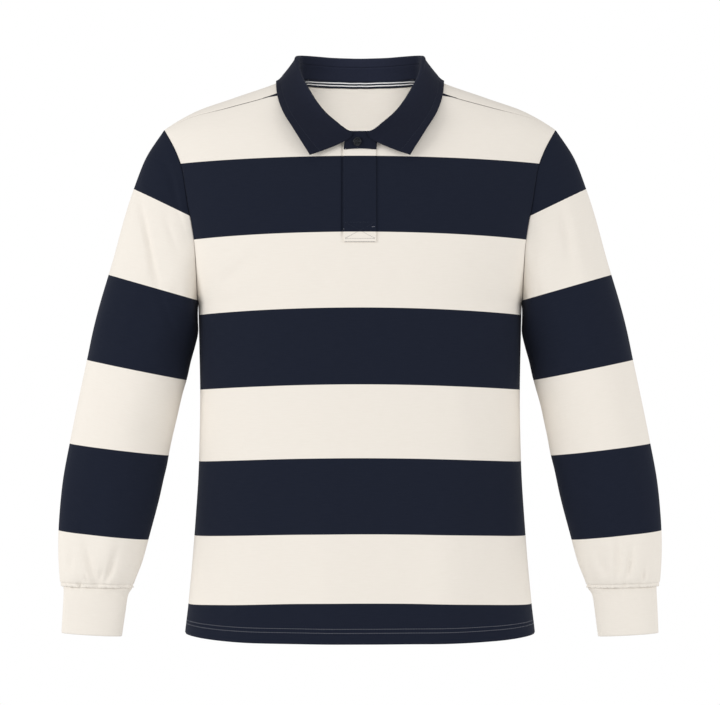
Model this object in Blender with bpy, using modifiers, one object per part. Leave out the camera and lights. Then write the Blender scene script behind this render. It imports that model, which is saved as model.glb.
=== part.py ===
"""A long-sleeve polo shirt in hooped jersey with a twill collar, filled out as if worn, with nobody in it.

Sizes in the tables are millimetres and the meshes are metres. X runs to the wearer's left, the chest faces -Y and
Z is up. The origin lies between the shoulder points, where a wearer's shoulders carry the shirt.
"""

import math

import bmesh
import bpy
import numpy as np
from mathutils import Vector

MM = 0.001

# Cloth and seams
JERSEY = 1.5
TWILL = 1.8
TAPE = 1.0
SEAM_GAP = 0.3
CREAM = (0.84, 0.79, 0.71)
NAVY = (0.013, 0.016, 0.03)

# Body
ARMPIT_HEIGHT = -278.0
CHEST_HEIGHT = -188.0
SQUARENESS = 2.3
HEM_RISE_AT_SIDES = 6.5
SET_IN = {"front": 0.48, "back": 0.52}
# The angle round the armhole at which it turns from the shoulder's arch to the upright side.
TOP_ARC = 101.6

# Placket
SLIT_HALF = 19.0
PLACKET_HALF = 21.0
PLACKET_BOTTOM = -201.0
PLACKET_TOP_TURN = 26.2

# Collar
FOLD_RADIUS = 3.2
LEAF_CLEARANCE = 2.2
BAND_END = 21.5
BAND_UNDER_LEAF = 0.9
BAND_STEP_OUT = TWILL + SEAM_GAP

# Button
BUTTON_DIAMETER = 11.5
BUTTON_THICKNESS = 2.6
BUTTON_HOLE = 1.7
BUTTON_HOLE_PITCH = 3.0
BUTTON_ACROSS = -3.5
BUTTON_HEIGHT = -69.4


def table(names, *rows):
    """Columns by name, from rows whose first column rises."""
    return dict(zip(names.split(), np.array(rows, float).T))


BODY = table(
    "height half_width front back",
    (-719, 231.0, 114.0, 112.0),
    (-670, 226.0, 111.0, 107.0),
    (-617, 221.0, 108.5, 102.0),
    (-564, 217.0, 107.0, 98.0),
    (-511, 213.5, 107.0, 95.0),
    (-458, 211.6, 108.0, 95.0),
    (-405, 210.8, 110.0, 97.0),
    (-340, 211.8, 114.0, 103.0),
    (-278, 213.2, 117.0, 108.0),
    (-235, 213.8, 117.5, 111.0),
    (-188, 218.0, 114.0, 113.0),
    (-120, 229.0, 103.0, 112.5),
    (-79, 240.0, 91.0, 111.0),
    (-40, 255.0, 84.5, 110.0),
    (0, 260.0, 81.0, 108.0),
    (60, 260.0, 79.0, 106.0),
)

# The line that a shoulder would show from the front, and inside the neck where it would run on.
RIDGE = table(
    "across height",
    (0, 60.0),
    (30, 54.0),
    (60, 38.0),
    (74, 30.0),
    (84, 23.5),
    (110, 12.5),
    (168, -7.8),
    (223, -28.2),
    (258, -49.2),
    (275, -62.0),
)

ARMHOLE = table(
    "height across",
    (-278, 213.2),
    (-235, 213.8),
    (-200, 216.0),
    (-175, 220.0),
    (-150, 225.0),
    (-125, 229.0),
    (-97, 234.5),
    (-75, 243.5),
    (-49.2, 258.0),
)

# turn is the angle over the shoulder: 0 at the chest, 90 on the ridge, 180 at the back.
SHOULDER_SEAM = table(
    "across turn",
    (84, 66.3),
    (108, 66.5),
    (167, 68.5),
    (203, 71.5),
    (222, 75.0),
    (240, 79.5),
    (258, 90.0),
)

# The neck seam from the centre front round to the centre back, and the collar at each place along it: the fold line,
# the leaf's outer edge, how far the leaf rolls before it falls, and how high it rises inside over the band.
NECK = table(
    "arc across turn fold_x fold_y fold_z edge_x edge_y edge_z roll rise",
    (-21, -21.0, 29.4, -19.0, -82.0, -51.0, 54.0, -93.0, -106.0, 0.10, 1.5),
    (0, 0.0, 28.6, 0.0, -84.3, -52.5, 61.5, -91.5, -93.0, 0.10, 0.5),
    (21, 21.0, 29.4, 19.0, -82.0, -51.0, 69.5, -89.0, -79.5, 0.18, 1.5),
    (37, 36.0, 31.7, 28.5, -79.0, -44.5, 77.5, -85.0, -66.5, 0.22, 2.0),
    (58, 52.0, 36.7, 42.0, -71.0, -33.0, 87.0, -77.0, -51.0, 0.26, 3.0),
    (83, 66.0, 44.0, 55.2, -60.5, -17.0, 97.0, -67.0, -35.0, 0.26, 4.0),
    (110, 77.0, 54.5, 68.0, -45.0, 4.5, 105.0, -50.0, -18.0, 0.22, 5.0),
    (133, 84.0, 66.3, 76.7, -30.0, 22.0, 109.5, -32.0, -1.5, 0.16, 6.0),
    (152, 85.5, 77.5, 81.3, -16.0, 37.0, 111.0, -12.0, 11.5, 0.10, 7.0),
    (170, 83.5, 91.5, 83.4, -1.0, 47.5, 110.5, 9.0, 14.5, 0.06, 8.0),
    (187, 77.0, 105.0, 80.5, 18.0, 50.5, 103.0, 33.0, 14.0, 0.08, 8.5),
    (207, 66.0, 110.8, 69.5, 31.0, 51.3, 89.0, 50.0, 12.0, 0.16, 9.0),
    (226, 52.0, 115.7, 54.5, 41.0, 51.0, 69.5, 63.0, 8.5, 0.26, 9.0),
    (244, 36.0, 119.9, 37.2, 50.0, 50.3, 46.5, 73.0, 6.0, 0.32, 9.0),
    (263, 18.0, 122.3, 18.0, 55.0, 50.0, 23.0, 78.5, 4.5, 0.35, 9.0),
    (281, 0.0, 123.1, 0.0, 56.0, 49.7, 0.0, 80.0, 4.0, 0.35, 9.0),
    (299, -18.0, 122.3, -18.0, 55.0, 50.0, -23.0, 78.5, 4.5, 0.35, 9.0),
)
CENTRE_BACK = 281.0
SHOULDER_POINT = 133.0
FRONT_STATIONS = (21.0, 37.0, 58.0, 83.0, 110.0, 133.0)
BACK_STATIONS = (152.0, 170.0, 187.0, 207.0, 226.0, 244.0, 263.0, 281.0)
LEAF_ENDS = np.array([9.5, 14.5])
TAPE_END = 187.0

# Sleeve sections from the armhole to the cuff seam: the outer and inner ends of each, seen from the front.
SLEEVE = table(
    "section out_x out_z in_x in_z centre_y half_depth",
    (0, 258.0, -49.2, 213.2, -278.0, 0.0, 54.5),
    (1, 282.5, -86.3, 214.2, -289.5, 0.0, 58.0),
    (2, 299.0, -128.5, 213.9, -302.7, 0.0, 61.0),
    (3, 311.5, -168.0, 213.7, -317.3, 0.0, 62.0),
    (4, 325.8, -220.9, 217.6, -335.7, -1.0, 61.5),
    (5, 341.5, -273.7, 223.0, -355.5, -2.0, 60.0),
    (6, 351.7, -313.3, 227.0, -374.0, -3.5, 58.5),
    (7, 359.9, -352.9, 232.7, -395.0, -5.0, 57.0),
    (8, 370.7, -405.6, 244.3, -443.7, -10.0, 54.0),
    (9, 381.0, -458.1, 255.2, -495.0, -15.0, 50.0),
    (10, 390.3, -510.5, 266.0, -543.4, -20.0, 46.0),
    (11, 395.0, -562.9, 275.7, -581.2, -25.0, 41.0),
    (12, 395.8, -602.0, 285.3, -616.6, -28.0, 36.0),
    (13, 394.2, -632.5, 293.0, -636.8, -30.0, 30.5),
    (14, 392.6, -645.0, 297.0, -647.6, -30.5, 25.0),
    (15, 388.8, -649.8, 298.6, -651.8, -30.5, 19.8),
)
CAP_SECTIONS = 5.0

CUFF = table(
    "section out_x out_z in_x in_z centre_y half_depth",
    (0, 388.6, -650.1, 298.8, -652.1, -30.5, 19.7),
    (1, 388.8, -660.0, 304.4, -661.6, -30.6, 19.0),
    (2, 389.8, -680.0, 307.6, -682.5, -31.0, 18.2),
    (3, 391.3, -710.3, 312.0, -714.8, -32.0, 17.4),
)

# Soft folds of the body: where each lies from side to side, the heights between which it grows, and its spread and depth.
BODY_FOLDS = {
    "front": table(
        "across start full wide deep",
        (-150, -300, -560, 26, 2.2),
        (-92, -430, -690, 30, -2.4),
        (-38, -380, -640, 26, 1.6),
        (64, -420, -690, 30, -2.0),
        (112, -330, -620, 28, 2.4),
        (165, -470, -700, 22, -1.8),
    ),
    "back": table(
        "across start full wide deep",
        (-140, -260, -520, 30, -2.6),
        (-70, -350, -600, 32, 2.8),
        (-8, -300, -560, 30, -2.2),
        (58, -400, -660, 30, 2.6),
        (128, -240, -500, 32, -2.8),
    ),
}

# Folds of the sleeve: the section and the angle round it where each is deepest, its reach, and its depth.
SLEEVE_FOLDS = table(
    "section angle sections degrees deep",
    (0.9, 68, 0.8, 15, -2.5),
    (3.4, 84, 1.5, 16, -3.2),
    (4.3, 152, 0.8, 22, -2.2),
    (5.6, 35, 1.2, 18, 2.0),
    (6.0, 210, 1.0, 20, -2.6),
    (8.2, 140, 0.6, 26, -2.4),
    (8.9, 215, 0.7, 26, -2.8),
    (9.6, 150, 0.6, 24, 2.2),
    (10.8, 75, 1.2, 17, -2.6),
    (11.2, 285, 1.3, 20, -2.4),
)
# Gathers where the sleeve's end is drawn into the cuff.
GATHERS = table(
    "angle degrees deep",
    (30, 9, -1.6),
    (64, 9, -2.6),
    (90, 10, -3.2),
    (141, 9, -2.0),
    (205, 10, -2.4),
    (244, 9, -3.0),
    (283, 10, -2.6),
    (320, 9, -1.8),
)
GATHER_SECTIONS = (12.0, 14.3)

# Grid lines of the panels
SHOULDER_COLUMNS = (106.0, 132.0, 160.0, 188.0, 214.0, 238.0, 258.0)
LOWER_ROWS = (-719, -698, -655, -605, -555, -505, -455, -405, -360, -318, -278)
ARMPIT_STEPS = 6
FRONT_RISE = (0.0, 0.13, 0.26, 0.39, 0.52, 0.65, 0.77, 0.89, 1.0)
BACK_RISE = (0.0, 0.14, 0.28, 0.42, 0.56, 0.70, 0.83, 0.945, 1.0)
SLEEVE_ROWS = (0, 0.5, 1, 1.7, 2.5, 3.4, 4.2, 5, 5.8, 6.6, 7.5, 8.2, 8.9, 9.6, 10.3, 11, 11.8, 12.6, 13.3, 14.1, 15)
LEAF_ROWS = (0, 1, 1.25, 1.5, 1.75, 2, 2.2, 2.4, 2.6, 2.8, 3)
# The way from the armpit to the shoulder's end runs square to this direction, along which the sleeve is set off.
ARMHOLE_LINE = (0.981, 0.0, -0.195)


def along(tab, column, at):
    """A smooth value between a table's rows: cubic pieces whose slope at each row comes from its neighbours."""
    key = next(iter(tab.values()))
    value = tab[column]
    slope = np.gradient(value, key)
    at = np.asarray(at, float)
    i = np.clip(np.searchsorted(key, at, side="right") - 1, 0, len(key) - 2)
    span = key[i + 1] - key[i]
    t = np.clip((at - key[i]) / span, 0.0, 1.0)
    start = (2 * t**3 - 3 * t**2 + 1) * value[i] + (t**3 - 2 * t**2 + t) * slope[i] * span
    end = (3 * t**2 - 2 * t**3) * value[i + 1] + (t**3 - t**2) * slope[i + 1] * span
    return start + end


def ease(t):
    """From 0 to 1 with no corner at either end."""
    t = np.clip(t, 0.0, 1.0)
    return t * t * (3 - 2 * t)


def unit(vectors):
    return vectors / np.maximum(np.linalg.norm(vectors, axis=-1, keepdims=True), 1e-12)


def share(u):
    """How much of the full depth a section has at the share u of its half width."""
    return np.clip(1 - np.abs(u) ** SQUARENESS, 0, 1) ** (1 / SQUARENESS)


def section_width(height, side):
    """Half width of the whole section. Over the armpit it runs on past the armhole, which cuts it off."""
    climb = np.clip((height - ARMPIT_HEIGHT) / (CHEST_HEIGHT - ARMPIT_HEIGHT), 0, 1)
    depth_at_armhole = SET_IN[side] * np.sqrt(np.clip(1 - (1 - climb) ** 2, 0, 1))
    over = along(ARMHOLE, "across", height) / share(depth_at_armhole)
    return np.where(height > ARMPIT_HEIGHT, over, along(BODY, "half_width", height))


def panel_depth(x, height, side):
    """How far the front or the back stands off the side seams' plane, folds included."""
    inside = share(x / section_width(height, side))
    folds = BODY_FOLDS[side]
    rows = zip(*(folds[name] for name in ("across", "start", "full", "wide", "deep")))
    stands_off = along(BODY, side, height) * inside
    for across, start, full, wide, deep in rows:
        grown = ease((start - height) / (start - full))
        stands_off = stands_off + deep * grown * np.exp(-(((x - across) / wide) ** 2)) * np.minimum(inside * 2, 1)
    return stands_off


def arch_height(x):
    return along(RIDGE, "height", np.abs(x)) - CHEST_HEIGHT


def over_shoulder(x, turn):
    """Points on the quarter ellipses that carry the front up over the shoulder's ridge and down the back."""
    angle = np.radians(turn)
    z = CHEST_HEIGHT + arch_height(x) * np.sin(angle)
    off = np.where(np.asarray(turn) < 90, panel_depth(x, z, "front"), panel_depth(x, z, "back"))
    return np.stack(np.broadcast_arrays(x, -off * np.cos(angle), z), -1)


def body_normals(points):
    """Outward directions on the body, from the slope of the function that is 0 on its surface."""

    def height_off(p):
        x, y, z = np.moveaxis(p, -1, 0)
        arch = np.clip(z - CHEST_HEIGHT, 0, None) / arch_height(x)
        off = []
        for side in ("front", "back"):
            width = section_width(z, side)
            deep = along(BODY, side, z)
            plain = (np.abs(x) / width) ** SQUARENESS + (np.abs(y) / deep) ** SQUARENESS
            raised = share(x / width) * deep
            off.append(np.where(z < CHEST_HEIGHT, plain, np.hypot(y / np.maximum(raised, 1.0), arch)))
        return np.where(y < 0, off[0], off[1])

    step = 0.05
    slope = [height_off(points + step * axis) - height_off(points - step * axis) for axis in np.eye(3)]
    return unit(np.stack(slope, -1))


def armhole_height(angle):
    """Heights round the armhole for angles from 0 at the shoulder's end to 180 at the armpit."""
    top = ARMHOLE["height"][-1]
    upper = CHEST_HEIGHT + (top - CHEST_HEIGHT) * np.cos(np.radians(angle * 90 / TOP_ARC))
    lower_turn = np.radians((180 - angle) * 90 / (180 - TOP_ARC))
    lower = ARMPIT_HEIGHT + (CHEST_HEIGHT - ARMPIT_HEIGHT) * (1 - np.cos(lower_turn))
    return np.where(angle <= TOP_ARC, upper, lower)


def armhole_loop(angle):
    """Points round the armhole: 0 at the shoulder, 90 in front, 180 under the arm, 270 behind."""
    angle = np.mod(angle, 360.0)
    front = angle <= 180
    folded = np.where(front, angle, 360 - angle)
    z = armhole_height(folded)
    x = along(ARMHOLE, "across", z)
    arch = np.clip((z - CHEST_HEIGHT) / arch_height(x), 0, 1)
    level = np.sqrt(1 - arch**2)
    y = np.where(front, -panel_depth(x, z, "front"), panel_depth(x, z, "back")) * level
    return np.stack([x, y, z], -1)


def tube(tab, section, angle):
    """Points of a tube whose sections are ellipses between the outer and inner ends in its table."""
    cos, sin = np.cos(np.radians(angle)), np.sin(np.radians(angle))
    out_x, out_z, in_x, in_z, centre_y, half = (
        along(tab, name, section) for name in ("out_x", "out_z", "in_x", "in_z", "centre_y", "half_depth")
    )
    x = (out_x + in_x) / 2 + cos * (out_x - in_x) / 2
    z = (out_z + in_z) / 2 + cos * (out_z - in_z) / 2
    return np.stack(np.broadcast_arrays(x, centre_y - half * sin, z), -1)


def sleeve_surface(section, angle):
    """The sleeve: elliptic sections that start as the armhole's own loop, with folds and gathers pressed in."""
    section, angle = np.broadcast_arrays(np.asarray(section, float), np.asarray(angle, float))
    points = tube(SLEEVE, section, angle)
    away = armhole_loop(angle) - tube(SLEEVE, np.zeros_like(section), angle)
    points = points + away * (1 - ease(section / CAP_SECTIONS))[..., None]
    centre = (tube(SLEEVE, section, 0.0 * angle) + tube(SLEEVE, section, 0.0 * angle + 180)) / 2
    press = np.zeros_like(section)
    folds = (SLEEVE_FOLDS[name] for name in ("section", "angle", "sections", "degrees", "deep"))
    for at, turn, long, wide, deep in zip(*folds):
        apart = (angle - turn + 180) % 360 - 180
        press = press + deep * np.exp(-(((section - at) / long) ** 2) - (apart / wide) ** 2)
    start, full = GATHER_SECTIONS
    drawn = ease((section - start) / (full - start)) * ease((15 - section) / (15 - full))
    for turn, wide, deep in zip(*(GATHERS[name] for name in ("angle", "degrees", "deep"))):
        apart = (angle - turn + 180) % 360 - 180
        press = press + deep * drawn * np.exp(-((apart / wide) ** 2))
    press = press * ease(section / 0.8)
    return points + unit(points - centre) * press[..., None]


def surface_normals(surface, first, second):
    """Outward directions on a surface of two values, from its slopes along both."""
    step = 0.02
    low, high = np.clip(first - step, 0, None), first + step
    down = surface(high, second) - surface(low, second)
    round_it = surface(first, second + 1.0) - surface(first, second - 1.0)
    return unit(np.cross(round_it, down))


def seam_normals(own, other):
    """One direction for both edges of a seam, so that their walls meet as a mitre. In a deep valley each keeps its own."""
    alike = (own * other).sum(-1, keepdims=True)
    meet = ease((alike + 0.1) / 0.6)
    return unit(own * (1 - meet) + unit(own + other) * meet)


def grid_faces(rows, columns, closed=False, keep=None):
    """Four-sided faces of a grid of points. keep says which cells stay."""
    index = np.arange(rows * columns).reshape(rows, columns)
    right = np.roll(index, -1, axis=1) if closed else index[:, 1:]
    left = index if closed else index[:, :-1]
    faces = np.stack([left[:-1], right[:-1], right[1:], left[1:]], -1)
    return faces[keep] if keep is not None else faces.reshape(-1, 4)


def wall(name, outer, inner, faces, colour, roughness, collection):
    """A closed wall of cloth: a loft of its outer face, its inner face and the edge between them."""
    faces = np.concatenate([faces[:, [0, 1, 2]], faces[:, [0, 2, 3]]])
    corners = outer.reshape(-1, 3)[faces]
    facing = np.cross(corners[:, 1] - corners[:, 0], corners[:, 2] - corners[:, 0])
    away = (outer - inner).reshape(-1, 3)[faces].mean(axis=1)
    if (facing * away).sum() < 0:
        faces = faces[:, ::-1]
    used = np.unique(faces)
    renumber = np.full(len(outer.reshape(-1, 3)), -1)
    renumber[used] = np.arange(len(used))
    faces = renumber[faces]
    points = np.concatenate([outer.reshape(-1, 3)[used], inner.reshape(-1, 3)[used]]) * MM
    sides = np.stack([faces, np.roll(faces, -1, axis=1)], -1).reshape(-1, 2)
    known = {tuple(side) for side in sides.tolist()}
    rim = sorted((b, a, a + len(used), b + len(used)) for a, b in known if (b, a) not in known)
    all_faces = [*faces.tolist(), *(faces[:, ::-1] + len(used)).tolist(), *rim]
    mesh = bpy.data.meshes.new(name)
    mesh.from_pydata(points.tolist(), [], all_faces)
    mesh.shade_smooth()
    mesh.set_sharp_from_angle(angle=math.radians(50))
    return add_object(name, mesh, colour, roughness, collection)


def add_object(name, mesh, colour, roughness, collection):
    obj = bpy.data.objects.new(name, mesh)
    collection.objects.link(obj)
    mesh.materials.clear()
    mesh.materials.append(cloth_material(f"{name}_cloth", colour, roughness))
    return obj


def cloth_material(name, colour, roughness):
    material = bpy.data.materials.new(name)
    material.use_nodes = True
    shader = material.node_tree.nodes["Principled BSDF"]
    shader.inputs["Base Color"].default_value = (*colour, 1.0)
    shader.inputs["Roughness"].default_value = roughness
    shader.inputs["Metallic"].default_value = 0.0
    return material


def panel_half(side, hand):
    """Points of one half of the front or the back, from the centre out, with rows from the hem to the top.

    They lie where x rises, but with the folds of the half on the given hand, 1 for the left and -1 for the right.
    """
    front = side == "front"
    gap = SEAM_GAP / 2
    stations = FRONT_STATIONS if front else (SHOULDER_POINT, *BACK_STATIONS)[::-1]
    neck_x = along(NECK, "across", np.array(stations))
    neck_turn = along(NECK, "turn", np.array(stations))
    shoulder_turn = along(SHOULDER_SEAM, "turn", SHOULDER_COLUMNS)
    tops = np.concatenate([neck_x, SHOULDER_COLUMNS])
    turns = np.concatenate([neck_turn, shoulder_turn])
    per_degree = np.linalg.norm(over_shoulder(tops, turns + 0.5) - over_shoulder(tops, turns - 0.5), axis=-1)
    turns[len(neck_x) - 1 :] += ((-gap if front else gap) / per_degree)[len(neck_x) - 1 :]
    start = SLIT_HALF + 2.0 if front else 0.0
    first = math.degrees(math.asin((start / 213.0) ** (SQUARENESS / 2)))
    low = np.sin(np.radians(np.linspace(first, 90, len(tops)))) ** (2 / SQUARENESS)
    high = tops / SHOULDER_COLUMNS[-1]
    rows = []
    step_heights = armhole_height(180 - np.arange(1, ARMPIT_STEPS + 1) * (180 - TOP_ARC) / ARMPIT_STEPS)
    for height in (*LOWER_ROWS, *step_heights):
        over = height > ARMPIT_HEIGHT
        edge = along(ARMHOLE, "across", height) if over else along(BODY, "half_width", height)
        x = edge * low
        if front:
            x = start + (edge - start) * (low - low[0]) / (1 - low[0])
            x = np.concatenate([[0.0, SLIT_HALF], x])
        height = np.full_like(x, height)
        if height[0] == LOWER_ROWS[0]:
            height = height + HEM_RISE_AT_SIDES * (x / edge) ** 5
        y = panel_depth(hand * x, height, side)
        rows.append(np.stack([x, -y if front else y, height], -1))
    for rise in (FRONT_RISE if front else BACK_RISE)[1:]:
        edge_point = armhole_loop(TOP_ARC * (1 - rise) * (1 if front else -1))
        x = edge_point[0] * (low * (1 - rise) + high * rise)
        turn = turns * rise if front else 180 - (180 - turns) * rise
        if front:
            span = (edge_point[0] - start) / (edge_point[0] - x[0])
            x = start + (x - x[0]) * span
            x = np.concatenate([[0.0, SLIT_HALF], x])
            turn = np.concatenate([[PLACKET_TOP_TURN * rise] * 2, turn])
        row = over_shoulder(x, turn)
        row[-1] = edge_point
        rows.append(row)
    points = np.array(rows)
    points[:, -1, 1] += np.where(np.abs(points[:, -1, 1]) < gap, -gap if front else gap, 0.0)
    return points


def panel(side):
    """Outer and inner points of the whole front or back."""
    first = len(LOWER_ROWS) - 1
    turn_up = (180 - TOP_ARC) * np.arange(ARMPIT_STEPS + 1) / ARMPIT_STEPS
    rise = np.array((FRONT_RISE if side == "front" else BACK_RISE)[1:])
    angle = np.concatenate([180 - turn_up, TOP_ARC * (1 - rise)]) * (1 if side == "front" else -1)
    sleeve = surface_normals(sleeve_surface, np.zeros_like(angle), np.mod(angle, 360))
    halves = []
    for hand in (1.0, -1.0):
        half = panel_half(side, hand)
        normals = body_normals(half)
        normals[first:, -1] = seam_normals(normals[first:, -1], sleeve)
        mirror = np.array([hand, 1.0, 1.0])
        halves.append((half * mirror, (half - normals * JERSEY) * mirror))
    outer, inner = (np.concatenate([right[:, :0:-1], left], axis=1) for left, right in zip(*halves))
    return outer, inner


def make_front(collection):
    outer, inner = panel("front")
    rows, columns = outer.shape[:2]
    keep = np.ones((rows - 1, columns - 1), bool)
    middle = columns // 2
    notch_row = len(LOWER_ROWS) - 1 + ARMPIT_STEPS
    keep[notch_row:, middle - 1 : middle + 1] = False
    faces = grid_faces(rows, columns, keep=keep)
    wall("front", outer, inner, faces, CREAM, 0.85, collection)


def make_back(collection):
    outer, inner = panel("back")
    wall("back", outer, inner, grid_faces(*outer.shape[:2]), CREAM, 0.85, collection)


def sleeve_angles():
    """Angles round the sleeve whose points meet the rows of the front and the back at the armhole."""
    front = TOP_ARC * (1 - np.array(FRONT_RISE[::-1]))
    back = TOP_ARC * (1 - np.array(BACK_RISE[::-1]))
    under = TOP_ARC + (180 - TOP_ARC) * np.arange(1, ARMPIT_STEPS + 1) / ARMPIT_STEPS
    behind = 360 - np.concatenate([back, under[:-1]])[:0:-1]
    return np.concatenate([front, under, behind])


def make_sleeve(name, side, collection):
    angle = sleeve_angles()
    section = np.array(SLEEVE_ROWS, float)[:, None]
    outer = sleeve_surface(section, angle[None, :])
    shift = SEAM_GAP * (1 - ease(section))[..., None] * np.array(ARMHOLE_LINE)
    outer = outer + shift
    section, angle = np.broadcast_arrays(section, angle[None, :])
    normals = surface_normals(sleeve_surface, section, angle)
    normals[0] = seam_normals(normals[0], body_normals(armhole_loop(angle[0])))
    inner = outer - normals * JERSEY
    mirror = np.array([side, 1.0, 1.0])
    faces = grid_faces(*outer.shape[:2], closed=True)
    wall(name, outer * mirror, inner * mirror, faces, CREAM, 0.85, collection)


def make_cuff(name, side, collection):
    angle = sleeve_angles()[None, :]
    section = np.array((0, 0.5, 1, 2, 3), float)[:, None]
    outer = tube(CUFF, section, angle)
    across = (tube(CUFF, section, 0 * angle) - tube(CUFF, section, 0 * angle + 180)) / 2
    deep = (tube(CUFF, section, 0 * angle + 90) - tube(CUFF, section, 0 * angle + 270)) / 2
    turn = np.radians(angle)[..., None]
    off = np.cos(turn) * across / (across**2).sum(-1, keepdims=True)
    off = unit(off + np.sin(turn) * deep / (deep**2).sum(-1, keepdims=True))
    inner = outer - off * JERSEY
    mirror = np.array([side, 1.0, 1.0])
    faces = grid_faces(*outer.shape[:2], closed=True)
    wall(name, outer * mirror, inner * mirror, faces, CREAM, 0.9, collection)


def placket_grid(columns, heights, rises):
    """Points of the front's surface down the middle: rows at the given heights, then rows up to the neck."""
    x = np.array(columns, float)
    rows = []
    for height in heights:
        level = np.full_like(x, height)
        rows.append(np.stack([x, -panel_depth(x, level, "front"), level], -1))
    for rise in rises:
        rows.append(over_shoulder(x, np.full_like(x, PLACKET_TOP_TURN * rise)))
    return np.array(rows)


def make_placket(collection):
    half = SLIT_HALF - SEAM_GAP
    under = placket_grid((-half, 0, half), (CHEST_HEIGHT + SEAM_GAP,), FRONT_RISE[1:])
    normals = body_normals(under)
    faces = grid_faces(*under.shape[:2])
    wall("placket_under", under, under - normals * JERSEY, faces, CREAM, 0.85, collection)
    columns = (-PLACKET_HALF, -SLIT_HALF, 0, SLIT_HALF, PLACKET_HALF)
    top = placket_grid(columns, (PLACKET_BOTTOM,), FRONT_RISE)
    normals = body_normals(top)
    normals[-1] = collar_frame(np.array(columns, float), np.full(5, PLACKET_TOP_TURN))[3]
    outer, inner = top + normals * (SEAM_GAP + JERSEY), top + normals * SEAM_GAP
    wall("placket_top", outer, inner, grid_faces(*top.shape[:2]), CREAM, 0.85, collection)


def round_neck(columns, ring):
    """Columns of the neck table at places round the whole neck: 0 and 562 are the centre front."""
    ring = np.asarray(ring, float)
    side = np.where(ring <= CENTRE_BACK, 1.0, -1.0)
    arc = np.where(ring <= CENTRE_BACK, ring, 2 * CENTRE_BACK - ring)
    found = [along(NECK, name, arc) * (side if name in ("across", "fold_x", "edge_x") else 1.0) for name in columns.split()]
    return found[0] if len(found) == 1 else np.stack(found, -1)


def collar_frame(ring, turn=None):
    """The neck seam, the fold line, and the directions up the band and out of it, at places round the neck."""
    across = round_neck("across", ring)
    if turn is None:
        turn = round_neck("turn", ring)
    seam = over_shoulder(across, turn)
    fold = round_neck("fold_x fold_y fold_z", ring)
    tangent = round_neck("fold_x fold_y fold_z", ring + 1.0) - round_neck("fold_x fold_y fold_z", ring - 1.0)
    up = unit(fold - seam)
    return seam, fold, up, unit(np.cross(tangent, up))


def step_out(arc):
    """How far the collar stands out near the centre front, where one end of the band laps over the other."""
    return (BAND_STEP_OUT * (1 - ease((arc - 24.0) / 26.0)))[..., None]


def neck_arc(ring):
    return np.where(ring <= CENTRE_BACK, ring, 2 * CENTRE_BACK - ring)


def band_surface(ring, height):
    """The band's outer face: height is 0 at the neck seam and 1 under the leaf. Its front ends lap at the centre."""
    arc = neck_arc(ring)
    over = ring <= CENTRE_BACK
    dropped = np.where(over, 22.0 - arc, (SLIT_HALF + 1.7 - arc) / 2.1)
    dropped = np.clip(dropped, 0, 1)
    turn = round_neck("turn", ring) * (1 - dropped) + PLACKET_TOP_TURN * dropped
    seam, fold, up, out = collar_frame(ring, turn)
    rise = round_neck("rise", ring)[..., None]
    base = seam + SEAM_GAP * up
    top = fold - (FOLD_RADIUS + rise + BAND_UNDER_LEAF) * up - (FOLD_RADIUS - TWILL) * out
    return base + (top - base) * height + np.where(over[..., None], step_out(arc), 0.0) * out, out


def band_ring():
    """Places round the neck for the band's columns, from its upper end at the front to its lower one."""
    centre = 2 * CENTRE_BACK
    right = [-BAND_END, *LEAF_ENDS[::-1] * -1, 0, *LEAF_ENDS, 21.0, 22.0, *FRONT_STATIONS[1:], *BACK_STATIONS]
    left = [centre - place for place in (*BACK_STATIONS[-2::-1], *FRONT_STATIONS[:0:-1])]
    under = [SLIT_HALF + 1.7, SLIT_HALF - 0.4, *LEAF_ENDS[::-1], 0, -LEAF_ENDS[0], SEAM_GAP - SLIT_HALF]
    ends = [centre - place for place in under]
    return np.array([*right, *left, *ends])


def make_band(collection):
    ring = band_ring()[None, :] * np.ones((4, 1))
    height = np.linspace(0, 1, 4)[:, None, None]
    outer, out = band_surface(ring, height)
    inner = outer - out * TWILL
    wall("collar_band", outer, inner, grid_faces(*outer.shape[:2]), NAVY, 0.8, collection)


def clear_of_body(points, gap):
    """Points pushed out from the shoulder's arch until they stand clear of the body by about the gap."""
    x, y, z = np.moveaxis(points, -1, 0)
    raised = np.where(y < 0, panel_depth(x, z, "front"), panel_depth(x, z, "back"))
    up = z - CHEST_HEIGHT
    inside = np.hypot(y / raised, up / arch_height(x))
    reach = np.hypot(y, up)
    scale = np.maximum((reach / inside + gap) / reach, 1.0)
    return np.stack([x, y * scale, CHEST_HEIGHT + up * scale], -1)


def leaf_surface(ring, place):
    """The leaf's visible face. place runs 0 to 1 up the inside, 1 to 2 over the fold and 2 to 3 down to the edge."""
    _, fold, up, out = collar_frame(ring)
    fold = fold + step_out(neck_arc(ring)) * out
    edge = round_neck("edge_x edge_y edge_z", ring)
    roll = round_neck("roll", ring)[..., None]
    rise = round_neck("rise", ring)[..., None]
    place = place[..., None]
    centre = fold - FOLD_RADIUS * up
    inside = centre - FOLD_RADIUS * out - rise * up * (1 - place)
    turn = np.pi * (2 - np.clip(place, 1, 2))
    round_fold = np.cos(turn) * out + np.sin(turn) * up
    begin = centre + FOLD_RADIUS * out
    down = np.clip(place - 2, 0, 1)
    pull = begin - up * roll * np.linalg.norm(edge - begin, axis=-1, keepdims=True)
    fall = begin * (1 - down) ** 2 + pull * 2 * down * (1 - down) + edge * down**2
    fall = fall + (clear_of_body(fall, TWILL + LEAF_CLEARANCE) - fall) * ease(down * 4)
    points = np.where(place <= 1, inside, np.where(place <= 2, centre + FOLD_RADIUS * round_fold, fall))
    return points, round_fold


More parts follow.
